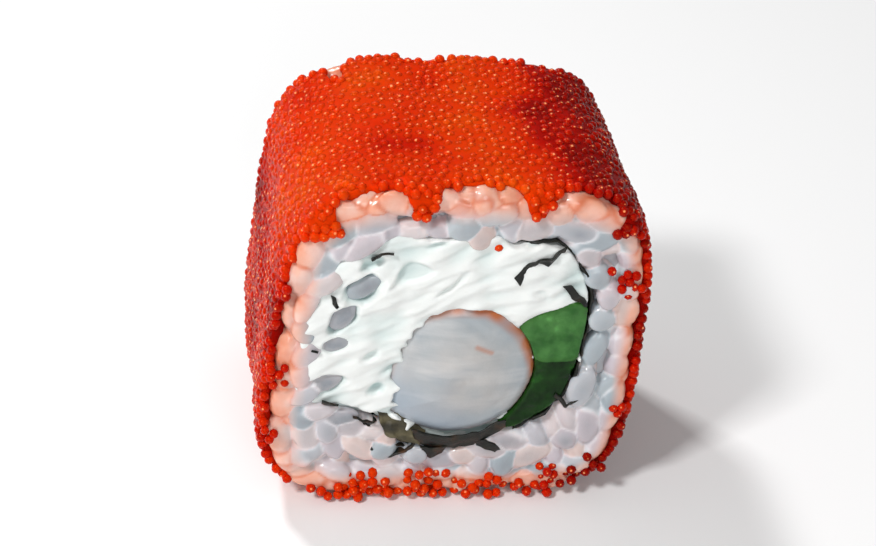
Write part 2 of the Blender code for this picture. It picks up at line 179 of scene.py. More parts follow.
# %% [markdown]
# The packed solids stand with the middle of their underside on the origin, a hair off where these outlines
# put them. The shrimp's box and a cucumber strip's box tell how far, and each finished piece is moved by
# that much. The solid shrimp's outline has 24 points, so it is measured with as many.

# %% Where the solids stand
solid_edge = smooth_loop(SHRIMP_OUTLINE, 24)
shrimp_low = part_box("shrimp")[0]
strip_low, strip_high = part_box("cucumber_upper")
to_side, to_height = shrimp_low.x - solid_edge[:, 0].min(), shrimp_low.z - solid_edge[:, 1].min()
stand = Vector((to_side, (strip_low.y + strip_high.y) / 2, to_height))
print("the pieces are moved by", tuple(round(value / MM, 3) for value in stand), "mm")

# %% [markdown]
# ## Making and finishing a piece
#
# Most fillings start alike: an outline is drawn as one face and pushed through the slice. A voxel remesh
# then turns the block into a fine even skin, like clay, and the points of that skin can be pushed about to
# make smears, fibres and soft edges. The helpers below do those steps, and hang the finished piece on the
# slice's one body.


# %% Helpers for pieces
def block(name, outline, front, back):
    """The outline as a closed block from y = front to y = back."""
    form = bmesh.new()
    face = form.faces.new([form.verts.new((x, front, z)) for x, z in outline])
    pushed = bmesh.ops.extrude_face_region(form, geom=[face])["geom"]
    moved = [item for item in pushed if isinstance(item, bmesh.types.BMVert)]
    bmesh.ops.translate(form, verts=moved, vec=(0, back - front, 0))
    bmesh.ops.recalc_face_normals(form, faces=form.faces)
    return new_piece(name, form)


def in_scene(name, data):
    """An object in the scene for a mesh, a lamp or a camera."""
    made = bpy.data.objects.new(name, data)
    bpy.context.scene.collection.objects.link(made)
    return made


def new_piece(name, form):
    """An object from a bmesh, which is freed."""
    mesh = bpy.data.meshes.new(name)
    form.to_mesh(mesh)
    form.free()
    return in_scene(name, mesh)


def apply_modifiers(piece):
    """Puts what the modifiers make into the mesh."""
    graph = bpy.context.evaluated_depsgraph_get()
    mesh = bpy.data.meshes.new_from_object(piece.evaluated_get(graph))
    piece.modifiers.clear()
    piece.data = mesh


def combine(piece, operation, other):
    """Cuts the piece with another one, which is used up."""
    step = piece.modifiers.new(operation.lower(), "BOOLEAN")
    step.operation = operation
    step.object = other
    apply_modifiers(piece)
    bpy.data.objects.remove(other)


def thicken(piece, thickness, offset=0):
    """Gives a thin sheet a wall, about its middle, or inwards from it where offset is -1."""
    wall = piece.modifiers.new("thickness", "SOLIDIFY")
    wall.thickness = thickness
    wall.offset = offset
    apply_modifiers(piece)


def as_clay(piece, cell_size, smoothing):
    """Gives the piece a fine even skin with softened edges."""
    remesh = piece.modifiers.new("clay", "REMESH")
    remesh.mode = "VOXEL"
    remesh.voxel_size = cell_size
    apply_modifiers(piece)
    form = bmesh.new()
    form.from_mesh(piece.data)
    for _ in range(smoothing):
        bmesh.ops.smooth_vert(
            form, verts=form.verts, factor=0.5, use_axis_x=True, use_axis_y=True, use_axis_z=True,
        )
    form.to_mesh(piece.data)
    form.free()


def points_of(piece):
    """The piece's points as an array."""
    points = np.empty(len(piece.data.vertices) * 3)
    piece.data.vertices.foreach_get("co", points)
    return points.reshape(-1, 3)


def put_points(piece, points):
    """Moves the piece's points."""
    piece.data.vertices.foreach_set("co", points.ravel())
    piece.data.update()


def mark(piece, name, values):
    """Keeps a number for each point, or the same one for all, for the piece's finish to read."""
    column = piece.data.attributes.new(name, "FLOAT", "POINT").data
    column.foreach_set("value", np.full(len(column), values, dtype=np.float32))


def hills(points, size, seed=0.0):
    """Smooth unevenness at each point, between about -1 and 1, with hills this size apart."""
    return np.array([noise.noise(Vector(point) / size + Vector((seed, seed, seed))) for point in points])


def ease(value, low, high):
    """Eases from 0 at low to 1 at high."""
    share = np.clip((value - low) / (high - low), 0, 1)
    return share * share * (3 - 2 * share)


def finish_piece(piece, finish, slot, *nodes):
    """Sets the piece where the solids stand, with its finish, and hangs it on the slice for these nodes."""
    piece.data.transform(Matrix.Translation(stand))
    piece.data.shade_smooth()
    piece.data.materials.clear()
    piece.data.materials.append(finish)
    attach(piece, "root")
    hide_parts(*nodes)
    print(piece.name, "-", len(piece.data.polygons), "faces")


# %% [markdown]
# ## Finishes
#
# A finish is a Principled shader fed by a few texture nodes. All of them read object coordinates, which are
# metres here, so a noise scale of 1000 makes spots of about a millimetre. Moist food glows a little from
# within, so most of these finishes let some light under the surface, and most have a thin clear coat for
# the wet shine. Where a colour has to follow the shape, such as a rim or a crease, the mesh keeps a number
# at each point and the finish reads it.


# %% Helpers for finishes
class Finish:
    """A material with its Principled shader and short ways to add nodes before it."""

    def __init__(self, name, **sockets):
        self.material = bpy.data.materials.new(name)
        self.material.use_nodes = True
        self.tree = self.material.node_tree
        self.shader = self.tree.nodes["Principled BSDF"]
        for socket, value in sockets.items():
            self.set(self.shader, socket.replace("_", " "), value)
        self.place = self.node("ShaderNodeTexCoord").outputs["Object"]

    def set(self, node, socket, value):
        if isinstance(value, bpy.types.NodeSocket):
            self.tree.links.new(value, node.inputs[socket])
        else:
            node.inputs[socket].default_value = value

    def node(self, kind, settings=(), **sockets):
        made = self.tree.nodes.new(kind)
        for name, value in dict(settings).items():
            setattr(made, name, value)
        for socket, value in sockets.items():
            self.set(made, int(socket[1:]) if socket[0] == "n" and socket[1:].isdigit() else socket, value)
        return made

    def spots(self, scale, detail, stretch=None, turn=(0, 0, 0)):
        """Noise with spots of 1 / scale metres. stretch draws it out along the axes, after a turn."""
        place = self.place
        if stretch:
            mapping = self.node("ShaderNodeMapping", Vector=place, Rotation=turn, Scale=stretch)
            place = mapping.outputs["Vector"]
        return self.node("ShaderNodeTexNoise", Vector=place, Scale=scale, Detail=detail).outputs["Fac"]

    def kept(self, name):
        """The number that the mesh keeps at each point."""
        return self.node("ShaderNodeAttribute", {"attribute_name": name}).outputs["Fac"]

    def colours(self, amount, *stops):
        """A ramp of colours, each given as (place, (red, green, blue))."""
        ramp = self.node("ShaderNodeValToRGB", Fac=amount)
        elements = ramp.color_ramp.elements
        while len(elements) < len(stops):
            elements.new(0.5)
        for element, (place, colour) in zip(elements, stops):
            element.position = place
            element.color = (*colour, 1)
        return ramp.outputs["Color"]

    def mixed(self, amount, first, second):
        """Two colours, mixed by an amount. A mix node takes them at its sockets 6 and 7."""
        mix = self.node("ShaderNodeMix", {"data_type": "RGBA"}, n0=amount)
        for number, value in ((6, first), (7, second)):
            self.set(mix, number, (*value, 1) if isinstance(value, tuple) else value)
        return mix.outputs[2]

    def product(self, first, second):
        """Two amounts multiplied."""
        return self.node("ShaderNodeMath", {"operation": "MULTIPLY"}, n0=first, n1=second).outputs[0]

    def total(self, first, second):
        """Two amounts added."""
        return self.node("ShaderNodeMath", {"operation": "ADD"}, n0=first, n1=second).outputs[0]

    def colour(self, value):
        """Gives the shader its colour."""
        self.set(self.shader, "Base Color", value)

    def glow(self, weight, radius, scale):
        """Lets light under the surface: how much, its red, green and blue shares, and how far in metres."""
        for socket, value in (("Weight", weight), ("Radius", radius), ("Scale", scale)):
            self.set(self.shader, f"Subsurface {socket}", value)

    def relief(self, height, depth):
        """Bump of this depth in metres."""
        bump = self.node("ShaderNodeBump", Height=height, Strength=1.0, Distance=depth)
        self.set(self.shader, "Normal", bump.outputs["Normal"])


print("a finish has these helpers:", ", ".join(name for name in vars(Finish) if name[0] != "_"))

# %% [markdown]
# ## The shrimp
#
# The round piece in the middle is the tail meat of one cooked shrimp, cut across. It is smooth, firm and a
# little translucent: pale grey inside, with a faint warm core, and its lower left is painted cooler and
# darker as painted shade. Its outside keeps a thin orange-pink rim, which is widest at the upper right, near
# a short vein of the same colour. It is made as clay from its outline: the cut face swells out a little, and
# its edge is soft. Fine fibres run round the core. What the finish has to follow, such as the rim, is worked
# out from how far inward a point lies.

# %% Shape the shrimp
FINE_CLAY = 0.22 * MM
shrimp = block("shrimp_meat", shrimp_edge, -CUT - 0.2 * MM, CUT + 0.2 * MM)
as_clay(shrimp, FINE_CLAY, smoothing=5)
points = points_of(shrimp)
face_places = points[:, [0, 2]]
inward = distance_to(shrimp_edge, face_places)
on_cut = ease(np.abs(points[:, 1]), CUT - 2.5 * MM, CUT)
dome = 1.5 * MM * ease(inward, 0, 7 * MM) - 0.55 * MM * (1 - ease(inward, -0.2 * MM, 1.4 * MM))
centre = np.array([1.4, 18.6]) * MM
ring = np.hypot(*(face_places - centre).T) / MM + 1.6 * hills(points * (1, 0.1, 1), 6 * MM, 2)
fibres = 0.035 * MM * np.sin(ring * 4.2) * ease(inward, 0.3 * MM, 2.5 * MM)
fibres = fibres * ease(hills(points, 5 * MM, 8), -0.3, 0.3)
points[:, 1] += np.sign(points[:, 1]) * on_cut * (dome + fibres + 0.26 * MM * hills(points, 4.5 * MM, 3))
put_points(shrimp, points)
upper_right = ease(face_places @ (0.55, 0.83), 17 * MM, 24 * MM)
rim_width = (0.7 + 0.9 * upper_right) * MM
rim = (1 - ease(inward, 0.1 * rim_width, rim_width)) * (0.3 + 0.9 * upper_right)
rim = rim * (0.8 + 0.7 * hills(points, 1.6 * MM, 6))
vein_start, vein_end = np.array([2.8, 23.4]) * MM, np.array([4.6, 22.5]) * MM
vein = vein_end - vein_start
vein_run = np.clip((face_places - vein_start) @ vein / (vein**2).sum(), 0, 1)
from_vein = np.linalg.norm(face_places - vein_start - vein_run[:, None] * vein, axis=1)
mark(shrimp, "rim", np.clip(rim, 0, 1) + 0.55 * (1 - ease(from_vein, 0.08 * MM, 0.45 * MM)))
heart = ease(inward, 1.5 * MM, 6.5 * MM) * (0.6 + 0.5 * hills(points * (1, 0.2, 1), 3 * MM, 12))
mark(shrimp, "heart", heart)
# Painted shade: the lower left is made cooler and darker.
mark(shrimp, "painted_cool_shade", ease(face_places @ (-0.6, -0.8), -14.5 * MM, -8 * MM))
print("the shrimp is", round(np.ptp(points[:, 0]) / MM, 1), "mm across")

# %% Finish the shrimp
finish = Finish("cooked shrimp", Roughness=0.28, IOR=1.4, Coat_Weight=0.5, Coat_Roughness=0.1)
flesh = finish.colours(
    finish.spots(150, 3, stretch=(1, 0.2, 1)), (0.35, (0.32, 0.37, 0.42)), (0.5, (0.40, 0.43, 0.45)),
    (0.68, (0.49, 0.49, 0.49)),
)
lines = finish.spots(420, 4, stretch=(0.16, 0.3, 1), turn=(0, math.radians(-38), 0))
lines = finish.colours(lines, (0.5, (0, 0, 0)), (0.72, (0.9, 0.9, 0.9)))
flesh = finish.mixed(lines, flesh, (0.60, 0.60, 0.60))
warm = finish.mixed(finish.product(finish.kept("heart"), 0.6), flesh, (0.55, 0.50, 0.46))
# Painted shade: a darker blue grey at the lower left.
shaded_flesh = finish.mixed(finish.product(finish.kept("painted_cool_shade"), 0.65), warm, (0.35, 0.42, 0.50))
finish.colour(finish.mixed(finish.kept("rim"), shaded_flesh, (0.50, 0.15, 0.05)))
finish.glow(0.5, (1.0, 0.9, 0.85), 1.1 * MM)
finish.relief(finish.spots(700, 4, stretch=(1, 0.3, 1)), 0.08 * MM)
finish_piece(shrimp, finish.material, "shrimp", "shrimp")

# %% [markdown]
# ## The cucumber
#
# Two strips of cucumber lie one above the other between the shrimp and the nori. The upper one shows pale
# green flesh, the lower one its dark skin side. Both are crisp, so their edges stay sharper than the
# cheese's.


# %% Shape the cucumber
def rounded(corners, count):
    """An outline that rounds off corners given in millimetres."""
    outline = np.array(corners) * MM
    for _ in range(2):
        after = np.roll(outline, -1, axis=0)
        outline = np.stack((0.8 * outline + 0.2 * after, 0.2 * outline + 0.8 * after), axis=1).reshape(-1, 2)
    return evenly(outline, count)


def cucumber_strip(name, corners, proud):
    """A strip of cucumber that stands a little proud of the cut."""
    strip = block(name, rounded(corners, 80), -CUT - proud, CUT + proud)
    combine(strip, "DIFFERENCE", block("shrimp_place", grown(shrimp_edge, 0.03 * MM), -DEPTH, DEPTH))
    combine(strip, "INTERSECT", block("nori_place", grown(filling_edge, 0.2 * MM), -DEPTH, DEPTH))
    as_clay(strip, FINE_CLAY, smoothing=2)
    points = points_of(strip)
    on_cut = ease(np.abs(points[:, 1]), CUT - 1 * MM, CUT)
    rough = 0.22 * hills(points, 1.6 * MM, 5) + 0.12 * hills(points, 0.7 * MM, 9)
    points[:, 1] += np.sign(points[:, 1]) * on_cut * rough * MM
    put_points(strip, points)
    mark(strip, "inward", distance_to(rounded(corners, 80), points[:, [0, 2]]) / MM)
    return strip


upper_strip = cucumber_strip("cucumber_flesh_strip", UPPER_CUCUMBER, 0.25 * MM)
lower_strip = cucumber_strip("cucumber_skin_strip", LOWER_CUCUMBER, 0.1 * MM)


# %% Finish the cucumber
def cucumber_finish(name, dark, light, edge):
    """Moist, mottled green, with another green along its edge."""
    finish = Finish(name, Roughness=0.25, IOR=1.22, Coat_Weight=0.1, Coat_Roughness=0.03)
    lightest = tuple(2.2 * value for value in light)
    flesh = finish.colours(finish.spots(420, 4), (0.32, dark), (0.62, light), (0.78, lightest))
    near_edge = finish.node("ShaderNodeMapRange", Value=finish.kept("inward"))
    for socket, value in (("From Min", 0.0), ("From Max", 0.9), ("To Min", 0.8), ("To Max", 0.0)):
        near_edge.inputs[socket].default_value = value
    finish.colour(finish.mixed(near_edge.outputs["Result"], flesh, edge))
    finish.glow(0.35, (0.5, 1.0, 0.3), 0.8 * MM)
    finish.relief(finish.spots(900, 3), 0.08 * MM)
    return finish.material


flesh_green = cucumber_finish(
    "cucumber flesh", (0.022, 0.105, 0.018), (0.070, 0.215, 0.052), (0.03, 0.12, 0.015),
)
skin_green = cucumber_finish(
    "cucumber skin", (0.0015, 0.012, 0.001), (0.006, 0.040, 0.003), (0.014, 0.075, 0.005),
)
finish_piece(upper_strip, flesh_green, "cucumber", "cucumber_upper")
finish_piece(lower_strip, skin_green, "cucumber", "cucumber_lower")

# %% [markdown]
# ## The soft cheese
#
# Soft cheese fills the nori round the shrimp. The knife has dragged it across the cut, so it lies in folds
# along the stroke, and on the left and along the top it is smeared over the edge of the nori and onto the
# rice. A plain block makes its inside, which never shows. Each cut gets a skin of its own: a ragged slab,
# made as fine clay and then pushed into folds by noise that is stretched along the stroke.


# %% Cut the places of the other fillings out of cheese
def cut_out_fillings(cheese, ragged):
    """Takes the places of shrimp and cucumber out of the cheese. Ragged cheese laps over the shrimp."""
    hole = grown(evenly(shrimp_edge, 260), -0.12 * MM)
    if ragged:
        spots = np.column_stack((hole, np.full(len(hole), 3 * MM)))
        lap = ease(-hole[:, 0], 1 * MM, 6 * MM) * 0.5 + 0.18
        flaps = ease(hills(spots, 1.5 * MM, 21), 0.05, 0.45) * ease(-hole[:, 0], 2 * MM, 6 * MM) * 1.1
        hole = hole - normals(hole) * ((lap * (0.4 + hills(spots, 0.9 * MM, 5)) + flaps) * MM)[:, None]
    combine(cheese, "DIFFERENCE", block("shrimp_place", hole, -DEPTH, DEPTH))
    for corners in (UPPER_CUCUMBER, LOWER_CUCUMBER):
        place = grown(rounded(corners, 60), -0.1 * MM)
        combine(cheese, "DIFFERENCE", block("strip_place", place, -DEPTH, DEPTH))


inside_cheese = block("cheese_inside", grown(filling_edge, 0.1 * MM), -CUT + 0.8 * MM, CUT - 0.8 * MM)
cut_out_fillings(inside_cheese, ragged=False)
as_clay(inside_cheese, 0.6 * MM, smoothing=1)

# %% [markdown]
# A few grains of rice show through the smeared cheese on the left. Their places are needed twice: the
# cheese sinks round them, and later the rice is laid there. Other grains lap over the cheese's left border,
# so that it doesn't end in a clean line. Each grain is given by its place in millimetres and its angle in
# degrees, and one that shows through also by how large the hollow round it is.

# %% Grains that meet the cheese
PEEPING_GRAINS = {
    -1: [(-10.7, 30.8, 52, 1.0), (-12.9, 26.7, 35, 0.85), (-13.6, 23.0, 75, 0.6), (-14.7, 17.3, 70, 1.0),
         (-12.6, 12.2, 85, 0.9)],
    1: [(11.5, 30.5, -50, 0.9), (-12.9, 21.5, -30, 1.0), (-10.8, 27.4, 65, 0.7)],
}
LAPPING_GRAINS = [
    (-16.9, 28.9, 25), (-17.3, 25.4, -12), (-16.4, 22.2, 38), (-17.4, 19.3, -15), (-16.3, 16.2, 50),
    (-15.0, 13.4, 80), (-14.8, 31.6, 60),
]


def near_peeping(points, side):
    """1 at the grains that show through the cheese, and 0 away from them."""
    shown = np.zeros(len(points))
    for x, z, angle, size in PEEPING_GRAINS[side]:
        turn = math.radians(angle)
        across, up = points[:, 0] - x * MM, points[:, 2] - z * MM
        along = (across * math.sin(turn) + up * math.cos(turn)) / (2.3 * size * MM)
        over = (across * math.cos(turn) - up * math.sin(turn)) / (1.45 * size * MM)
        away = np.hypot(along, over) + 0.35 * hills(points, 1.6 * MM, x)
        shown = np.maximum(shown, 1 - ease(away, 0.7, 1.3))
    return shown


# %% Shape the smeared skin of the cheese
STROKE = math.radians(26)
SKIN_DEPTH = 1.3 * MM


def smear_outline(side, seed):
    """How far the smear reaches: ragged, furthest along the top, and torn on the left."""
    outline = smooth_loop(FILLING_OUTLINE, 300)
    spots = np.column_stack((outline, np.full(len(outline), seed * MM)))
    left, top = side * outline[:, 0], outline[:, 1]
    reach = 1.5 * ease(top, 32 * MM, 35.5 * MM) * ease(left, -8 * MM, -3 * MM)
    reach += 0.5 * ease(left, 8 * MM, 13 * MM) * ease(top, 13 * MM, 19 * MM)
    reach += 0.25 - 1.5 * ease(left, 1 * MM, 6 * MM) * (1 - ease(top, 12 * MM, 16 * MM))
    ragged = 0.9 * hills(spots, 3 * MM) + 0.55 * hills(spots, 1.2 * MM, 4)
    rough = np.maximum(ease(left, -9 * MM, -2 * MM), 0.5)
    return outline + normals(outline) * ((reach + ragged * rough * 1.3) * MM)[:, None]


def smear(name, side, seed):
    """The skin of the cheese at one cut, in folds along the knife's stroke."""
    near, far = sorted((side * (CUT - SKIN_DEPTH), side * (CUT + 0.1 * MM)))
    piece = block(name, smear_outline(side, seed), near, far)
    cut_out_fillings(piece, ragged=True)
    as_clay(piece, FINE_CLAY, smoothing=2)
    points = points_of(piece)
    stroke = STROKE + 0.12 * hills(points, 12 * MM, seed + 1)
    along = points[:, 0] * np.cos(stroke) + points[:, 2] * np.sin(stroke)
    over = points[:, 2] * np.cos(stroke) - points[:, 0] * np.sin(stroke)

    def drawn(times):
        """The points for noise that is drawn out this many times along the stroke."""
        return np.column_stack((along / times, points[:, 1] * 0.2, over))

    folds = 0.38 * hills(drawn(3.2), 1.7 * MM, seed + 2) + 0.16 * hills(drawn(4.5), 0.75 * MM, seed + 9)
    lumpy = 0.62 * hills(points * (1, 0.3, 1), 5.5 * MM, seed + 7)
    lumpy += 0.26 * hills(points * (1, 0.3, 1), 2.4 * MM, seed)
    tears = -0.7 * ease(hills(drawn(2), 2.1 * MM, seed + 17), 0.35, 0.6)
    beneath = ease(points[:, 0], -4.5 * MM, -2.5 * MM) * (1 - ease(points[:, 2], 10.6 * MM, 12 * MM))
    height = folds + lumpy + tears + 0.25 - 1.2 * near_peeping(points, side) - 1.1 * beneath
    outward = ease(points[:, 1] * side, CUT - 1.0 * MM, CUT - 0.1 * MM)
    points[:, 1] += side * outward * height * MM
    put_points(piece, points)
    # How deep a point lies in the folds, tears and hollows. The finish paints shade there: it makes those
    # points darker.
    mark(piece, "shade_in_hollows", -height + 0.25)
    return piece


front_smear = smear("cheese_front", -1, 4)
back_smear = smear("cheese_back", 1, 31)
print("each skin has about", len(front_smear.data.vertices), "points")

# %% Finish the cheese
finish = Finish("soft cheese", Roughness=0.4, IOR=1.4, Coat_Weight=0.1, Coat_Roughness=0.25)
# Painted shade: the deeper a point lies, the darker and greener the cheese.
finish.colour(finish.colours(
    finish.kept("shade_in_hollows"), (0.0, (0.84, 0.86, 0.84)), (0.4, (0.72, 0.79, 0.77)), (0.9, (0.44, 0.57, 0.56)),
))
finish.glow(0.25, (1.0, 0.95, 0.9), 0.5 * MM)
finish.relief(finish.spots(1100, 4, stretch=(0.35, 1, 1), turn=(0, STROKE, 0)), 0.1 * MM)
mark(inside_cheese, "shade_in_hollows", 0.5)
for piece in (front_smear, back_smear, inside_cheese):
    finish_piece(piece, finish.material, "cream_cheese", "cream_cheese")

# %% [markdown]
# ## The nori
#
# Nori is a thin sheet of dried seaweed. The roll's damp has made it soft, so it wrinkles a little, and its
# cut edge is torn. It is wound once round the filling, and its outer end laps over its inner one at the
# lower left. A flat grid is laid along that spiral, and a Solidify modifier gives it its thickness, about
# half of what the packed solid has. Where the cheese is smeared over it, it ends a little way behind the
# cut. Torn scraps of the same sheet lie about the front cut, the longest of them along the shrimp's
# underside, and at the lower left a flap of the sheet's olive inner face shows.

# %% Roll the nori
SHEET_THICKNESS = 0.24 * MM
LAP, STEP_RUN = 0.11, 0.12  # in turns: how far the ends lap, and how long the outer end takes to rise
filling_out = normals(filling_edge)
sheet = bmesh.new()
bmesh.ops.create_grid(sheet, x_segments=300, y_segments=36, size=1)
for vertex in sheet.verts:
    turn = (vertex.co.x + 1) / 2 * (1 + LAP)
    across = vertex.co.y
    point = round(turn * len(filling_edge)) % len(filling_edge)
    stepped = min(max((turn - 1) / STEP_RUN + 1, 0), 1)
    x, z = filling_edge[point]
    spot = Vector((x, across * CUT, z))
    wrinkle = 0.4 * MM * noise.noise(spot / (1.8 * MM) + Vector((turn, 0, 0)))
    lift = CLEARANCE + NORI_THICKNESS / 2 + (NORI_THICKNESS + CLEARANCE) * stepped + wrinkle
    x, z = filling_edge[point] + filling_out[point] * lift
    torn = 0.9 * noise.noise(spot / (2.6 * MM) + Vector((5, 0, 0)))
    torn = torn + 0.5 * noise.noise(spot / (0.8 * MM)) - 0.3
    side = 1 if across > 0 else -1
    covered = float(ease(side * x, -8 * MM, -4 * MM) * ease(z, 13 * MM, 16 * MM))
    vertex.co = (x, across * (CUT + (0.1 + torn - 1.8 * covered) * MM * abs(across)), z)
nori = new_piece("nori_sheet", sheet)
thicken(nori, SHEET_THICKNESS)


# %% Tear the scraps of nori
noise.seed_set(7)  # noise_vector starts from a place set by the clock unless it is given a seed
SCRAP_THICKNESS = 0.26 * MM
FACE = -15.6  # just in front of the front cut, in millimetres


def scrap(form, upper, lower):
    """Adds a torn scrap between two edges: lists of (x, y, z) in millimetres, with y counted from FACE."""
    made = bmesh.ops.create_grid(form, x_segments=24, y_segments=8, size=1)["verts"]
    for vertex in made:
        place, share = (vertex.co.x + 1) / 2, (vertex.co.y + 1) / 2
        edges = []
        for edge in (upper, lower):
            edge = np.array(edge, dtype=float) + (0, FACE, 0)
            run = place * (len(edge) - 1)
            low = min(int(run), len(edge) - 2)
            edges.append(edge[low] + (edge[low + 1] - edge[low]) * float(ease(run - low, 0, 1)))
        spot = (edges[0] * (1 - share) + edges[1] * share) * MM
        rough = noise.noise_vector(Vector(spot) / (1.1 * MM)) * 0.28 * MM
        vertex.co = Vector(spot) + rough


FLAP = ([(-8.2, 0.5, 13.2), (-5.4, 0.4, 12.6), (-1.9, 0.3, 10.3)],
        [(-6.9, -0.5, 10.4), (-4.6, -0.6, 9.2), (-2.6, -0.4, 8.6)])
SCRAPS = [
    ([(-8.4, -0.3, 7.9), (-6.2, -0.3, 6.7), (-4.2, -0.3, 7.2), (-3, -0.2, 8.7)],
     [(-8, 2.2, 7.9), (-6.2, 2.2, 6.7), (-4.2, 2.2, 7.2), (-3, 2.2, 8.7)]),
    ([(11.8, -0.3, 36.6), (10.2, -0.5, 35.3), (8.9, -0.5, 35.1), (7.6, -0.5, 34.3), (6.2, -0.5, 32.6)],
     [(11.6, 0.2, 35.7), (10, -0.1, 34), (8.8, -0.2, 34.6), (7.2, -0.3, 32.9), (7, -0.4, 31.6)]),
    ([(12.2, -0.4, 31.4), (13.2, -0.5, 29.8), (14.9, -0.4, 28.6)],
     [(13.2, -0.2, 31.2), (14.4, -0.3, 30), (15.3, -0.2, 28.7)]),
    ([(13.2, -0.3, 16), (14.6, -0.5, 14.4), (15.9, -0.4, 15), (15.8, -0.3, 16.2)],
     [(13.1, -0.2, 15.5), (14.6, -0.3, 13.8), (16.3, -0.2, 14.7), (16, -0.2, 16)]),
    ([(3.9, -0.4, 9), (5.4, -0.6, 9.3), (6.6, -0.5, 8.6), (7.6, -0.4, 7.2)],
     [(4.3, -0.3, 8.3), (5.4, -0.4, 7.9), (6.2, -0.4, 7.5), (7, -0.3, 6.8)]),
    ([(-3.9, -0.9, 11.3), (-1.4, -1, 10.5), (1.4, -0.9, 10), (4.2, -0.9, 10.6), (7.4, -0.6, 12.3)],
     [(-3.2, -0.2, 9), (-1, -0.3, 8.2), (1.4, -0.3, 7.9), (4.6, -0.3, 8.8), (7.7, -0.2, 11)]),
    ([(-2.6, -0.5, 8.4), (-1.2, -0.6, 8.2), (0.6, -0.5, 8.3)],
     [(-2.2, -0.3, 7), (-1, -0.4, 6.6), (0.2, -0.3, 7.2)]),
    ([(-10.3, -0.4, 34.9), (-9.2, -0.5, 35.6), (-7.8, -0.4, 35.9)],
     [(-10.1, 0.4, 34.6), (-9.1, 0.3, 35.1), (-7.9, 0.3, 35.5)]),
    ([(-14.6, -0.6, 30.2), (-14.2, -0.6, 29.2), (-13.6, -0.5, 28.5)],
     [(-14, -0.3, 30.1), (-13.7, -0.3, 29.3), (-13.3, -0.3, 28.6)]),
    ([(-16.2, -0.8, 22.9), (-15.6, -0.8, 22.5)], [(-16, -0.5, 22.5), (-15.5, -0.5, 22.2)]),
    ([(-14.6, -0.4, 15.3), (-13.4, -0.5, 14.9), (-12.6, -0.4, 14.4)],
     [(-14.4, 0.2, 14.4), (-13.4, 0.1, 14.2), (-12.7, 0.1, 14)]),
    ([(-10.9, -0.4, 13), (-9.6, -0.5, 12.2), (-8.2, -0.3, 12)],
     [(-10.7, 0.4, 12.4), (-9.7, 0.3, 11.7), (-8.6, 0.2, 11.4)]),
]


def torn_piece(name, edges):
    """A piece of torn nori from pairs of edges."""
    form = bmesh.new()
    for upper, lower in edges:
        scrap(form, upper, lower)
    piece = new_piece(name, form)
    thicken(piece, SCRAP_THICKNESS)
    return piece


scraps = torn_piece("nori_scraps", SCRAPS)
flap = torn_piece("nori_flap", [FLAP])


# %% Finish the nori
def nori_finish(finish, pattern, *stops):
    """Colours dried weed in this pattern, and crinkles it finely."""
    finish.colour(finish.colours(pattern, *stops))
    finish.relief(finish.spots(1500, 4), 0.12 * MM)
    return finish.material


finish = Finish("nori", Roughness=0.45, IOR=1.4, Coat_Weight=0.08, Coat_Roughness=0.3)
outer_face = nori_finish(
    finish, finish.spots(600, 5), (0.3, (0.002, 0.0025, 0.002)), (0.55, (0.008, 0.009, 0.005)),
    (0.68, (0.035, 0.018, 0.008)), (0.8, (0.09, 0.035, 0.012)),
)
finish = Finish("olive nori", Roughness=0.4, IOR=1.4, Coat_Weight=0.15, Coat_Roughness=0.2)
inner_face = nori_finish(
    finish, finish.spots(520, 5, stretch=(0.4, 1, 1), turn=(0, math.radians(-30), 0)),
    (0.35, (0.010, 0.009, 0.005)), (0.5, (0.060, 0.050, 0.024)), (0.72, (0.20, 0.17, 0.09)),
)
for piece, face in ((nori, outer_face), (scraps, outer_face), (flap, inner_face)):
    finish_piece(piece, face, "nori", "nori")

# %% [markdown]
# ## The rice
#
# Cooked sushi rice is sticky, and the mat has pressed it hard, so the wall between nori and roe is one mass
# with whole grains showing at both cuts. A core makes the mass, set back from the cut, and the grains that
# show are laid over it. A grain is a small ball drawn out, bent a little and thinner at one end. Where the
# knife met a grain, its points are pushed most of the way back to the cut, which leaves a flattened sliced
# face. The grains of each cut are then fused by a voxel remesh, so they stick together with soft creases
# instead of lying like beads.

# %% The core of the rice
CORE_SETBACK = 1.5 * MM
rice_skin = grown(skin, -ROE_THICKNESS - 0.2 * MM)
nori_skin = grown(filling_edge, 2 * CLEARANCE + NORI_THICKNESS)
core = block("rice_core", evenly(rice_skin, 160), -CUT + CORE_SETBACK, CUT - CORE_SETBACK)
combine(core, "DIFFERENCE", block("nori_place", evenly(nori_skin, 160), -DEPTH, DEPTH))
as_clay(core, 0.5 * MM, smoothing=2)


# %% Helpers for many small things
def pattern_of(form):
    """Points and faces of a small shape, from a bmesh, which is freed."""
    form.verts.index_update()
    points = np.array([vertex.co[:] for vertex in form.verts])
    faces = [[vertex.index for vertex in face.verts] for face in form.faces]
    form.free()
    return points, faces


def joined(name, pattern, places, adjust=None, **marks):
    """One mesh with a copy of the pattern at each 4 by 4 matrix. marks keep a number for each copy."""
    points, faces = pattern
    places = np.array(places)
    copies = np.einsum("nij,pj->npi", places[:, :3, :3], points) + places[:, None, :3, 3]
    if adjust is not None:
        copies = adjust(copies)
    count = len(points)
    firsts = range(0, count * len(places), count)
    all_faces = [[first + corner for corner in face] for first in firsts for face in faces]
    mesh = bpy.data.meshes.new(name)
    mesh.from_pydata(copies.reshape(-1, 3).tolist(), [], all_faces)
    mesh.update()
    piece = in_scene(name, mesh)
    for mark_name, values in marks.items():
        mark(piece, mark_name, np.repeat(values, count))
    return piece


def turned(place, length, thickness, pointing, roll):
    """The matrix of a grain at place, its long axis pointing this way."""
    axis = Vector(pointing).normalized()
    turn = axis.to_track_quat("Z", "Y").to_matrix().to_4x4() @ Matrix.Rotation(roll, 4, "Z")
    stretch = Matrix.Diagonal((thickness, thickness * 0.9, length, 1))
    return np.array(Matrix.Translation(place) @ turn @ stretch)


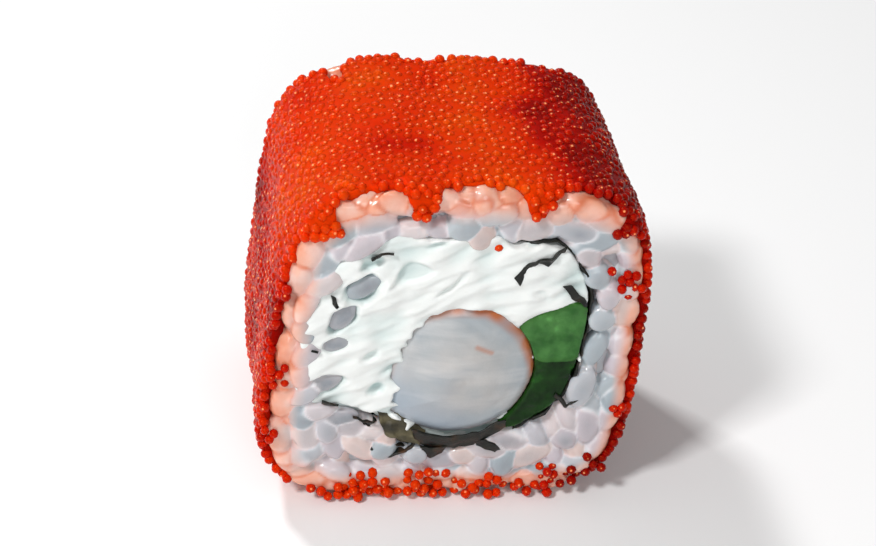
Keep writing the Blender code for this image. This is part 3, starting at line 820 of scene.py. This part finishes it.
# %% One grain of rice
grain = bmesh.new()
bmesh.ops.create_uvsphere(grain, u_segments=12, v_segments=9, radius=0.5)
for vertex in grain.verts:
    height = vertex.co.z * 2
    swell = 1 + 0.12 * (1 - height**4) - 0.10 * height
    vertex.co.x = vertex.co.x * swell + 0.10 * height**2
    vertex.co.y *= swell
grain_pattern = pattern_of(grain)
print("a grain has", len(grain_pattern[1]), "faces")

# %% [markdown]
# Along the top of each cut the roe hangs over the edge in tongues, and comes away from it in bays between
# them, as it does on the packed solid. Grains lie in the bays, so both the rice and the roe need to know
# where the tongues are.

# %% Bays and tongues
BAY_FLOOR = 38.3 * MM
TONGUES = {-1: (-17.5 * MM, -5.2 * MM, 8.2 * MM, 21 * MM), 1: (-20 * MM, -7.5 * MM, 5 * MM, 18 * MM)}
print(sum(len(tongues) for tongues in TONGUES.values()), "tongues of roe")

# %% [markdown]
# A row of grains lies end to end along the roe. The rest are thrown at the wall like darts, in two layers,
# and a throw counts only where it lands far enough from the others. Where the wall is narrow, a grain lies
# along it. Each one also keeps how strongly the roe's juice has stained it, and how cloudy it is.

# %% Ways to lay a grain
GRAIN_LENGTH, GRAIN_THICKNESS = 5.9 * MM, 3.1 * MM
FULL_TURN = 6.28
chance = random.Random(11)
grains = {-1: [], 1: []}


def lay_grain(side, place, pointing, limit, stain=0.0, size=1.0):
    """Adds a grain to a cut. limit is how far from the middle of the slice the knife passed it."""
    length = GRAIN_LENGTH * chance.uniform(0.88, 1.12) * size
    thickness = GRAIN_THICKNESS * chance.uniform(0.9, 1.08) * size
    matrix = turned(place, length, thickness, pointing, chance.uniform(0, FULL_TURN))
    grains[side].append((matrix, limit, stain, chance.random()))


def lying(angle, depth):
    """The direction of a grain that lies on the cut at this angle in degrees."""
    turn = math.radians(angle)
    return math.sin(turn), depth, math.cos(turn)


def in_the_wall(spot):
    """Whether a grain's middle may lie here: between nori and roe."""
    over_nori = chance.uniform(0.1, 0.9) * MM
    spot = spot[None]
    return distance_to(rice_skin, spot)[0] > 0.5 * MM and distance_to(nori_skin, spot)[0] < -over_nori


def throw_darts(spacing, tries, taken):
    """Places in the wall of rice that keep this far apart, and from those taken already."""
    found = []
    for _ in range(tries):
        spot = np.array((chance.uniform(-0.5, 0.5) * WIDTH, chance.uniform(0.02, 1) * HEIGHT))
        if all(np.hypot(*(spot - other)) > spacing for other in (*found, *taken)) and in_the_wall(spot):
            found.append(spot)
    return found


# %% Lay the grains on both cuts
for side in (-1, 1):
    row = []
    run = 0.0
    while run < len(skin):
        point = int(run)
        out = skin_out[point]
        spot = skin[point] - out * chance.uniform(2.5, 2.9) * MM
        if FOOT_LIFT + 2.4 * MM < spot[1] < BAY_FLOOR:
            pointing = (out[1], side * chance.uniform(-0.5, 0.5), -out[0])
            place = (spot[0], side * (CUT - chance.uniform(0.9, 1.5) * MM), spot[1])
            lay_grain(side, place, pointing, CUT + chance.uniform(-0.3, 0.4) * MM)
            row.append(spot)
        run += len(skin) * chance.uniform(3.4, 5.2) * MM / girth
    layers = ((2.0 * MM, 2.6 * MM, 1800, ()), (0.8 * MM, 2.5 * MM, 3000, row))
    for behind, spacing, tries, taken in layers:
        for spot in throw_darts(spacing, tries, taken):
            angle = chance.uniform(0, math.pi)
            lean = chance.uniform(-1, 1) ** 3 * 1.3
            room = min(distance_to(rice_skin, spot[None])[0], -distance_to(nori_skin, spot[None])[0])
            if room < 1.9 * MM:
                nearest = np.argmin(np.hypot(*(skin - spot).T))
                tangent = np.roll(skin, -1, axis=0)[nearest] - skin[nearest]
                angle = math.atan2(*tangent) + chance.uniform(-0.3, 0.3)
            flat = math.cos(lean)
            pointing = (math.sin(angle) * flat, side * math.sin(lean), math.cos(angle) * flat)
            y = side * (CUT - behind + chance.uniform(-0.4, 0.5) * MM)
            lay_grain(side, (spot[0], y, spot[1]), pointing, CUT + chance.uniform(-0.3, 0.5) * MM)
print([len(grains[side]) for side in (-1, 1)], "grains on the cuts")

# %% Lay the grains in the bays and along the foot
for side, tongues in TONGUES.items():
    for left, right in zip(tongues, tongues[1:]):
        x = left + 1.6 * MM
        while x < right - 1.2 * MM:
            point = np.argmin(np.hypot(skin[:, 0] - x, skin[:, 1] - HEIGHT))
            out = skin_out[point]
            sunk = skin[point] - out * chance.uniform(2.2, 2.7) * MM
            tip = chance.uniform(-0.5, 0.5)
            pointing = (out[1] - tip * out[0], side * chance.uniform(-0.6, 0.6), -out[0] - tip * out[1])
            y = side * (CUT - chance.uniform(0.6, 1.9) * MM)
            limit = CUT + chance.uniform(-0.3, 0.7) * MM
            lay_grain(side, (sunk[0], y, sunk[1]), pointing, limit, stain=chance.uniform(-0.1, 1), size=0.9)
            x += chance.uniform(2.3, 3.6) * MM
    x = -0.34 * WIDTH
    while x < 0.37 * WIDTH:
        lift = 0.8 * MM * float(ease(abs(x), 10 * MM, 16 * MM))
        place = (x, side * (CUT - chance.uniform(0.9, 1.6) * MM), chance.uniform(1.7, 2.6) * MM + lift)
        pointing = (1, chance.uniform(-0.4, 0.4), chance.uniform(-0.3, 0.3))
        lay_grain(side, place, pointing, CUT + 0.1 * MM, stain=0.3)
        x += chance.uniform(2.6, 4.2) * MM
    for x, z, angle, _ in PEEPING_GRAINS[side]:
        place = (x * MM, side * (CUT - 0.5 * MM), z * MM)
        lay_grain(side, place, lying(angle, side * 0.2), CUT - 0.1 * MM, stain=-1, size=0.85)
    for x, z, angle in LAPPING_GRAINS:
        place = (-side * x * MM, side * (CUT - 0.45 * MM), z * MM)
        limit = CUT + chance.uniform(0.4, 0.8) * MM
        lay_grain(side, place, lying(angle, 0.2), limit, stain=chance.uniform(-0.2, 0.3), size=0.9)
print([len(grains[side]) for side in (-1, 1)], "grains with those in the bays and along the foot")


# %% [markdown]
# Once the grains of a cut are fused, each point is told which grain it belongs to, how far out it lies in
# it and how near the next grain is. So the finish can show a clear heart where the knife has opened a
# grain, pale starch in the creases between grains, and the juice's stain near the roe.

# %% Fuse the grains of a cut
FAR_OFF = 9.0  # a point on a grain's own surface is at 1


def fused_grains(name, side):
    """The grains of one cut, sliced by the knife and stuck together, with what their finish needs to know."""
    matrices, limits, stains, clouds = (np.array(column) for column in zip(*grains[side]))

    def slice_off(copies):
        past = copies[..., 1] * side - limits[:, None]
        copies[..., 1] = np.where(past > 0, side * (limits[:, None] + 0.3 * past), copies[..., 1])
        return copies

    piece = joined(name, grain_pattern, matrices, slice_off)
    as_clay(piece, 0.24 * MM, smoothing=1)
    points = points_of(piece)
    nearest, second = np.full((2, len(points)), FAR_OFF)
    owner = np.zeros(len(points), dtype=int)
    for number, matrix in enumerate(matrices):
        close = np.flatnonzero(np.abs(points - matrix[:3, 3]).max(1) < 4.5 * MM)
        inside = (points[close] - matrix[:3, 3]) @ np.linalg.inv(matrix[:3, :3]).T
        reach = np.linalg.norm(inside, axis=1) * 2
        nearer = reach < nearest[close]
        second[close] = np.where(nearer, nearest[close], np.minimum(second[close], reach))
        owner[close[nearer]] = number
        nearest[close] = np.minimum(nearest[close], reach)
    from_roe = distance_to(skin, points[:, [0, 2]]) / MM
    reach = 3.6 + 2.2 * ease(points[:, 2], 34 * MM, 40 * MM) + 2.4 * ease(-points[:, 0], 12 * MM, 18 * MM)
    soaked = 1 - ease(from_roe, 1.7, reach) + stains[owner] * 0.6 + (clouds[owner] - 0.5) * 0.35
    mark(piece, "stain", np.clip(soaked, 0, 1))
    mark(piece, "cloud", clouds[owner])
    mark(piece, "heart", np.clip(1.1 - nearest + 0.35 * (stains[owner] < -0.5), 0, 1))
    mark(piece, "crease", 1 - ease(second - nearest, 0, 0.22))
    return piece


front_rice = fused_grains("rice_front", -1)
back_rice = fused_grains("rice_back", 1)

# %% Finish the rice
finish = Finish("cooked rice", Roughness=0.25, IOR=1.42, Coat_Weight=0.5, Coat_Roughness=0.08)
pale = finish.colours(
    finish.kept("cloud"), (0.0, (0.38, 0.44, 0.48)), (0.25, (0.49, 0.54, 0.57)), (0.45, (0.60, 0.53, 0.57)),
    (0.8, (0.71, 0.66, 0.66)), (1.0, (0.74, 0.59, 0.54)),
)
clearness = finish.total(finish.spots(380, 3), 0.55)
heart = finish.product(finish.kept("heart"), clearness)
translucent = finish.mixed(heart, pale, (0.27, 0.29, 0.32))
salmon = finish.colours(
    finish.spots(260, 3), (0.28, (0.74, 0.24, 0.12)), (0.5, (0.84, 0.40, 0.27)),
    (0.66, (0.88, 0.55, 0.45)),
)
salmon = finish.mixed(finish.product(finish.kept("heart"), 0.7), salmon, (0.86, 0.60, 0.52))
salmon = finish.mixed(finish.product(finish.kept("crease"), 0.8), salmon, (0.66, 0.17, 0.07))
starch = finish.product(finish.kept("crease"), finish.spots(500, 2))
translucent = finish.mixed(starch, translucent, (0.88, 0.87, 0.89))
stain = finish.product(finish.kept("stain"), finish.total(finish.spots(330, 2), 0.5))
finish.colour(finish.mixed(stain, translucent, salmon))
finish.glow(0.55, (1.0, 0.75, 0.65), 1.0 * MM)
finish.relief(finish.spots(800, 3), 0.1 * MM)
for piece in (front_rice, back_rice):
    finish_piece(piece, finish.material, "rice", "rice")
mark(core, "stain", 1 - ease(distance_to(skin, points_of(core)[:, [0, 2]]), 1.8 * MM, 4.5 * MM))
for name in ("cloud", "heart", "crease"):
    mark(core, name, 0.3)
finish_piece(core, finish.material, "rice", "rice")

# %% [markdown]
# ## The roe
#
# The roll's coat is a layer of fish eggs a good millimetre across, glued by their own juice. The juice and
# the lowest eggs make an even red film, and the eggs that show lie on it. Both curl over the brink of each
# cut, in a quarter circle, and where a tongue hangs down they are lifted, so that it lies on the grains.
#
# Real eggs neither line up nor pile up: they press together until their middles are a little less than an
# egg's width apart. Throwing darts at the unrolled coat, and keeping those that land far enough from the
# rest, gives just that. There are thousands, so each is a ball of 48 faces, joined in one mesh for each
# kind: orange ones and red ones, which gather in patches, and on the right, where the darker red is painted
# shade. Each egg has a painted highlight, a pale spot at one pole of the ball, which is turned outward and a
# little towards the lamps: that pole keeps a number for it.

# %% Unroll the coat
BRINK = 1.5 * MM
BRINK_START = CUT + 0.35 * MM - BRINK
QUARTER = math.pi / 2
BACK_NOTCHES = (-12.4 * MM, -7.8 * MM)
THROWS_PER_CELL = 14


def on_coat(run, along, sunk):
    """A point of the coat and its outward direction.

    run goes round the roll, and along goes through it and over the brink of each cut.
    """
    place = (run / girth * len(skin)) % len(skin)
    low, share = int(place), place % 1
    high = (low + 1) % len(skin)
    x, z = skin[low] * (1 - share) + skin[high] * share
    nx, nz = skin_out[low] * (1 - share) + skin_out[high] * share
    side = 1 if along > 0 else -1
    beyond = max(abs(along) - BRINK_START, 0)
    turn = min(beyond / BRINK, QUARTER)
    depth = BRINK * (1 - math.cos(turn)) + max(beyond - BRINK * QUARTER, 0)
    y = side * (min(abs(along), BRINK_START) + BRINK * math.sin(turn))
    out = Vector((nx * math.cos(turn), side * math.sin(turn), nz * math.cos(turn)))
    lumps = 0.5 * MM * noise.noise(Vector((x, y, z)) / (9 * MM)) * math.cos(turn)
    spot = Vector((x - nx * depth, y, z - nz * depth)) + out * (lumps - sunk)
    # The underside is let down onto the floor where it would hang clear of it.
    pressed = ease(2.2 * MM, 0.8 * MM, spot.z) if nz < -0.9 else 0
    spot.z -= FOOT_LIFT * float(pressed) * float(ease(-abs(spot.x), -16 * MM, -13 * MM))
    return spot, out


def reach_of_coat(run, side):
    """How far along the roll the coat reaches here, over the brink of the cut."""
    spot, out = on_coat(run, side * BRINK_START, 0)
    ragged = 0.55 * noise.noise(spot / (1.8 * MM)) + 0.35 * noise.noise(spot / (0.8 * MM))
    from_notch = min(abs(spot.x - notch) for notch in BACK_NOTCHES)
    ragged -= 3.2 * max(0, side) * float(ease(1.6 * MM - from_notch, 0, MM))
    reach = BRINK_START + (1.15 + ragged) * MM
    top = float(ease(spot.z, 37 * MM, 41 * MM))
    if top:
        away = min(abs(spot.x - tongue) for tongue in TONGUES[side])
        away = away + 0.9 * MM * noise.noise(spot / (1.1 * MM))
        tongue = 1 - float(ease(away, 0.3 * MM, 3.2 * MM))
        reach += top * (4.2 * tongue - 0.6 * (1 - tongue)) * MM
    if out.z < -0.93:
        reach -= (1.3 + 2.2 * noise.noise(spot / (4 * MM))) * MM
    return reach


def lift_of_tongue(along):
    """How much the roe lies on top of the grains where a tongue of it hangs down over the cut."""
    return 0.75 * MM * float(ease(abs(along) - BRINK_START, 1.4 * MM, 2.6 * MM))


def redness_and_shade(place):
    """How red the roe is here: in patches, more down the left side, and redder and darker to the right, as
    painted shade.
    """
    patches = 0.4 * noise.noise(place / (10 * MM) + Vector((3, 1, 2))) + 0.22 * noise.noise(place / (4 * MM))
    on_left = 0.35 * float(ease(HEIGHT - place.z, 5 * MM, 14 * MM) * ease(-place.x, 8 * MM, 16 * MM))
    # The rise to the right is painted shade: the darkest reds stand for the shaded right of the roll.
    return 0.26 + patches + 0.68 * float(ease(place.x, 3 * MM, 19 * MM)) + on_left


def scatter(spacing, rng):
    """Places (run, along) on the unrolled coat that keep this far apart, by throwing darts at small cells."""
    cells = {}
    found = []
    half = CUT + 5 * MM
    throws = int(THROWS_PER_CELL * girth * 2 * half / spacing**2)
    for _ in range(throws):
        run, along = rng.uniform(0, girth), rng.uniform(-half, half)
        column, row = int(run / spacing), int((along + half) / spacing)
        near = (cells.get((column + i, row + j)) for i in (-1, 0, 1) for j in (-1, 0, 1))
        if all(other is None or math.hypot(run - other[0], along - other[1]) > spacing for other in near):
            cells[column, row] = (run, along)
            found.append((run, along))
    return found


# %% The juice under the eggs
FILM_THICKNESS = 1.25 * MM
columns, rows = 400, 72
reaches = {
    side: [reach_of_coat(column / columns * girth, side) for column in range(columns + 1)] for side in (-1, 1)
}
film = bmesh.new()
bmesh.ops.create_grid(film, x_segments=columns, y_segments=rows, size=1)
for vertex in film.verts:
    share = (vertex.co.x + 1) / 2
    run = share * girth
    side = 1 if vertex.co.y > 0 else -1
    reach = reaches[side][round(share * columns)]
    along = vertex.co.y * (reach - 0.5 * MM)
    bumps = 0.1 * MM * noise.noise(Vector((run, along, 0)) / (1.1 * MM))
    sunk = (0.21 + 0.3 * float(ease(abs(along), reach - 2.6 * MM, reach - 0.8 * MM))) * MM
    spot, _ = on_coat(run, along, sunk - bumps - 0.75 * lift_of_tongue(along))
    vertex.co = (spot.x, spot.y, max(spot.z, 0.05 * MM))
bmesh.ops.remove_doubles(film, verts=film.verts, dist=0.02 * MM)
bmesh.ops.recalc_face_normals(film, faces=film.faces)
film = new_piece("roe_film", film)
thicken(film, FILM_THICKNESS, offset=-1)
mark(film, "tone", [min(max(redness_and_shade(vertex.co) + 0.1, 0), 1) for vertex in film.data.vertices])

# %% One egg, and where the eggs lie
EGG_RADIUS, EGG_SPACING = 0.63 * MM, 0.98 * MM
egg = bmesh.new()
bmesh.ops.create_uvsphere(egg, u_segments=8, v_segments=6, radius=1)
egg_pattern = pattern_of(egg)
# The pole of the ball that carries each egg's painted highlight.
highlight_pole = np.where(egg_pattern[0][:, 2] > 0.99, 1.0, 0.0)
eggs = {"orange": ([], []), "red": ([], [])}
toss = random.Random(5)


def lay_egg(place, radius, out, extra=0.0):
    """Adds an egg of the kind that lies here. Its painted highlight faces out and a little to the lamps."""
    place = Vector((place.x, place.y, max(place.z, radius * 0.9)))
    tone = redness_and_shade(place) + toss.gauss(0, 0.04) + extra
    kind = eggs["red" if tone > 0.5 else "orange"]
    # The pole with the painted highlight leans up and to the front left, towards the lamps.
    drift = Vector((toss.gauss(-0.1, 0.28), toss.gauss(-0.1, 0.28), toss.gauss(0.15, 0.28)))
    turn = (out.normalized() + drift).to_track_quat("Z", "Y").to_matrix().to_4x4()
    across, up = toss.uniform(0.93, 1.05), toss.uniform(0.93, 1.05)
    squeeze = Matrix.Diagonal((radius * across, radius, radius * up, 1))
    kind[0].append(np.array(Matrix.Translation(place) @ turn @ squeeze))
    kind[1].append(min(max(tone, 0), 1))


for run, along in scatter(EGG_SPACING, toss):
    if abs(along) < reach_of_coat(run, 1 if along > 0 else -1) + 0.05 * MM:
        place, out = on_coat(run, along, toss.uniform(0.50, 0.64) * MM - lift_of_tongue(along))
        lay_egg(place, EGG_RADIUS * toss.uniform(0.92, 1.08), out)
print(sum(len(kind[0]) for kind in eggs.values()), "eggs on the coat")

# %% [markdown]
# Where the slice stands, eggs have been squeezed out of the coat onto the foot of each cut. They lie there
# in clumps, each given by its place, width and height in millimetres. A few more cling to the rice higher
# up, given by their place and their number.

# %% Eggs that have spilled over the cuts
FOOT_CLUMPS = {
    -1: [(-19.0, 1.2, 2.6), (-14.2, 1.5, 1.8), (-9.8, 2.1, 3.4), (-6.6, 0.9, 2.2), (-1.2, 2.0, 3.8),
         (3.0, 1.0, 1.8), (6.3, 1.2, 2.6), (10.6, 0.9, 2.0), (14.4, 1.8, 4.0), (18.2, 1.6, 5.4)],
    1: [(-17.5, 1.5, 3.2), (-12.4, 1.6, 3.8), (-6.0, 1.3, 2.4), (-1.0, 1.9, 3.6), (5.2, 1.4, 2.2),
        (10.0, 1.8, 4.0), (15.6, 1.3, 3.0), (19.0, 1.0, 2.4)],
}
CLINGING = {
    -1: [(19.6, 32.6, 9), (20.4, 30.8, 5), (20.8, 13.2, 6), (-19.9, 30.0, 5), (-19.8, 18.5, 6),
         (-20.2, 9.5, 5), (4.6, 36.6, 1)],
    1: [(-19.8, 27.0, 8), (-20.2, 14.0, 6), (19.4, 33.0, 6), (19.9, 20.0, 5), (-4.0, 37.2, 3)],
}
FOOT_EGG = {"radius": 0.65 * MM, "spacing": 1.08 * MM, "extra": 0.08}
CLINGING_EGG = {"radius": 0.6 * MM, "spacing": 0.92 * MM, "extra": 0.05}
THROWS_PER_MM, TRIES_PER_EGG = 160, 5
laid = []


def squeeze_in(place, side, radius, spacing, extra):
    """Lays an egg on a cut if it still fits among those laid there. extra makes it redder."""
    beside = distance_to(skin, np.array([[place.x, place.z]]))[0] < 0.6 * MM
    beside = beside and (place.z > 4 * MM or abs(place.x) > 14 * MM)
    if beside or any((place - other).length < spacing for other in laid):
        return
    laid.append(place)
    lay_egg(place, radius * toss.uniform(0.9, 1.07), Vector((0, side, 0.4)), extra)


for side in (-1, 1):
    for x, wide, high in FOOT_CLUMPS[side]:
        for _ in range(int(THROWS_PER_MM * wide)):
            up = high * toss.random() ** 1.4
            x_now = x + toss.gauss(0, 0.55) * wide * (1.25 - 0.6 * up / high)
            limit = 17.6 + 0.7 * min(up, 4)
            y = side * (CUT - toss.uniform(-0.65, 0.45) * MM)
            place = Vector((min(max(x_now, -limit), limit) * MM, y, (up + 0.6) * MM))
            squeeze_in(place, side, **FOOT_EGG)
    for x, z, many in CLINGING[side]:
        spread = 0.2 * many**0.5
        y = side * (CUT + (0.2 * MM if many > 1 else -0.25 * MM))
        for _ in range(many * TRIES_PER_EGG):
            x_now, z_now = x + toss.gauss(0, spread), z + toss.gauss(0, spread)
            squeeze_in(Vector((x_now * MM, y, z_now * MM)), side, **CLINGING_EGG)
print(len(laid), "eggs on the cuts")


# %% Finish the roe
def roe_finish(name, **sockets):
    """Translucent roe, orange to deep red. Its tone, partly painted shade, and painted highlights come from
    the mesh.
    """
    finish = Finish(name, Specular_Tint=(1.0, 0.42, 0.12, 1), **sockets)
    tone = finish.total(finish.kept("tone"), finish.product(finish.spots(420, 2), 0.12))
    # The dark reds at the top of the ramp are painted shade on the right of the roll.
    jelly = finish.colours(
        tone, (0.04, (0.69, 0.062, 0.002)), (0.2, (0.66, 0.038, 0.0012)), (0.5, (0.64, 0.024, 0.001)),
        (0.8, (0.46, 0.005, 0.001)), (1.0, (0.25, 0.002, 0.001)),
    )
    # A painted highlight: a pale orange spot at each egg's pole.
    painted_highlight = finish.colours(finish.kept("painted_highlight"), (0.4, (0, 0, 0)), (0.72, (0.9, 0.9, 0.9)))
    finish.colour(finish.mixed(painted_highlight, jelly, (1.0, 0.36, 0.14)))
    finish.shader.subsurface_method = "BURLEY"
    finish.glow(0.8, (1.0, 0.3, 0.1), 0.8 * MM)
    return finish.material


egg_finish = roe_finish("roe eggs", Roughness=0.22, IOR=1.29)
for kind, (kind_places, tones) in eggs.items():
    piece = joined(f"{kind}_eggs", egg_pattern, kind_places, tone=tones)
    # How bright each egg's painted highlight is.
    clear = np.array([toss.uniform(0.35, 1.05) for _ in kind_places])
    mark(piece, "painted_highlight", np.outer(clear, highlight_pole).ravel())
    finish_piece(piece, egg_finish, "roe", "roe_coat")
mark(film, "painted_highlight", 0)
finish_piece(film, roe_finish("roe juice", Roughness=0.4, IOR=1.1), "roe", "roe_coat")

# %% [markdown]
# ## The floor and the light
#
# The slice stands on a plain pale floor. Two small lamps high on the left, one behind the slice and one in
# front of it, put a spark on every egg, beside its painted highlight, and model the shapes. A larger, weaker
# lamp in front and the pale surroundings fill the shade.

# %% Floor, lamps and surroundings
HALF_FLOOR = 1.5
floor_form = bmesh.new()
bmesh.ops.create_grid(floor_form, x_segments=1, y_segments=1, size=HALF_FLOOR)
floor = new_piece("floor", floor_form)
floor_finish = Finish("pale floor", Roughness=0.6)
floor_finish.colour((0.94, 0.94, 0.94, 1))
floor.data.materials.append(floor_finish.material)
floor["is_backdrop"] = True
AIM = Vector((0, 0, 0.02))


def lamp(name, place, size, power):
    """A square lamp that faces the slice."""
    light = bpy.data.lights.new(name, "AREA")
    light.size = size
    light.energy = power
    made = in_scene(name, light)
    made.location = place
    made.rotation_euler = (AIM - Vector(place)).to_track_quat("-Z", "Y").to_euler()


lamp("back_lamp", (-0.30, 0.42, 0.62), size=0.1, power=3.0)
lamp("key_lamp", (-0.42, -0.32, 0.58), size=0.12, power=3.4)
lamp("fill_lamp", (0.05, -0.75, 0.40), size=0.35, power=1.5)
world = bpy.data.worlds.new("surroundings")
world.use_nodes = True
background = world.node_tree.nodes["Background"].inputs
background["Color"].default_value = (1, 1, 1, 1)
background["Strength"].default_value = 0.26
bpy.context.scene.world = world
bpy.context.scene.view_settings.view_transform = "Standard"

# %% [markdown]
# ## The camera
#
# The camera looks down on the slice from close by, from the front and a little from the left. It is also
# rolled a little, until the foot of the cut face lies level in the picture, so the slice leans to the right
# as it would near the right edge of a wide view.

# %% Camera
azimuth, elevation = math.radians(-11), math.radians(33.7)
DISTANCE, LENS = 0.235, 79  # in metres and in millimetres
low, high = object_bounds()
middle = (low + high) / 2
back = Vector((
    math.sin(azimuth) * math.cos(elevation), -math.cos(azimuth) * math.cos(elevation), math.sin(elevation)
))
roll = math.atan2(-math.sin(azimuth) * math.sin(elevation), math.cos(azimuth))
camera = in_scene("camera", bpy.data.cameras.new("camera"))
camera.data.lens = LENS
camera.data.clip_start = 0.01
camera.location = middle + back * DISTANCE
camera.rotation_euler = ((-back).to_track_quat("-Z", "Y") @ Quaternion((0, 0, 1), roll)).to_euler()
bpy.context.scene.camera = camera
print("the camera is rolled by", round(math.degrees(roll), 1), "degrees")
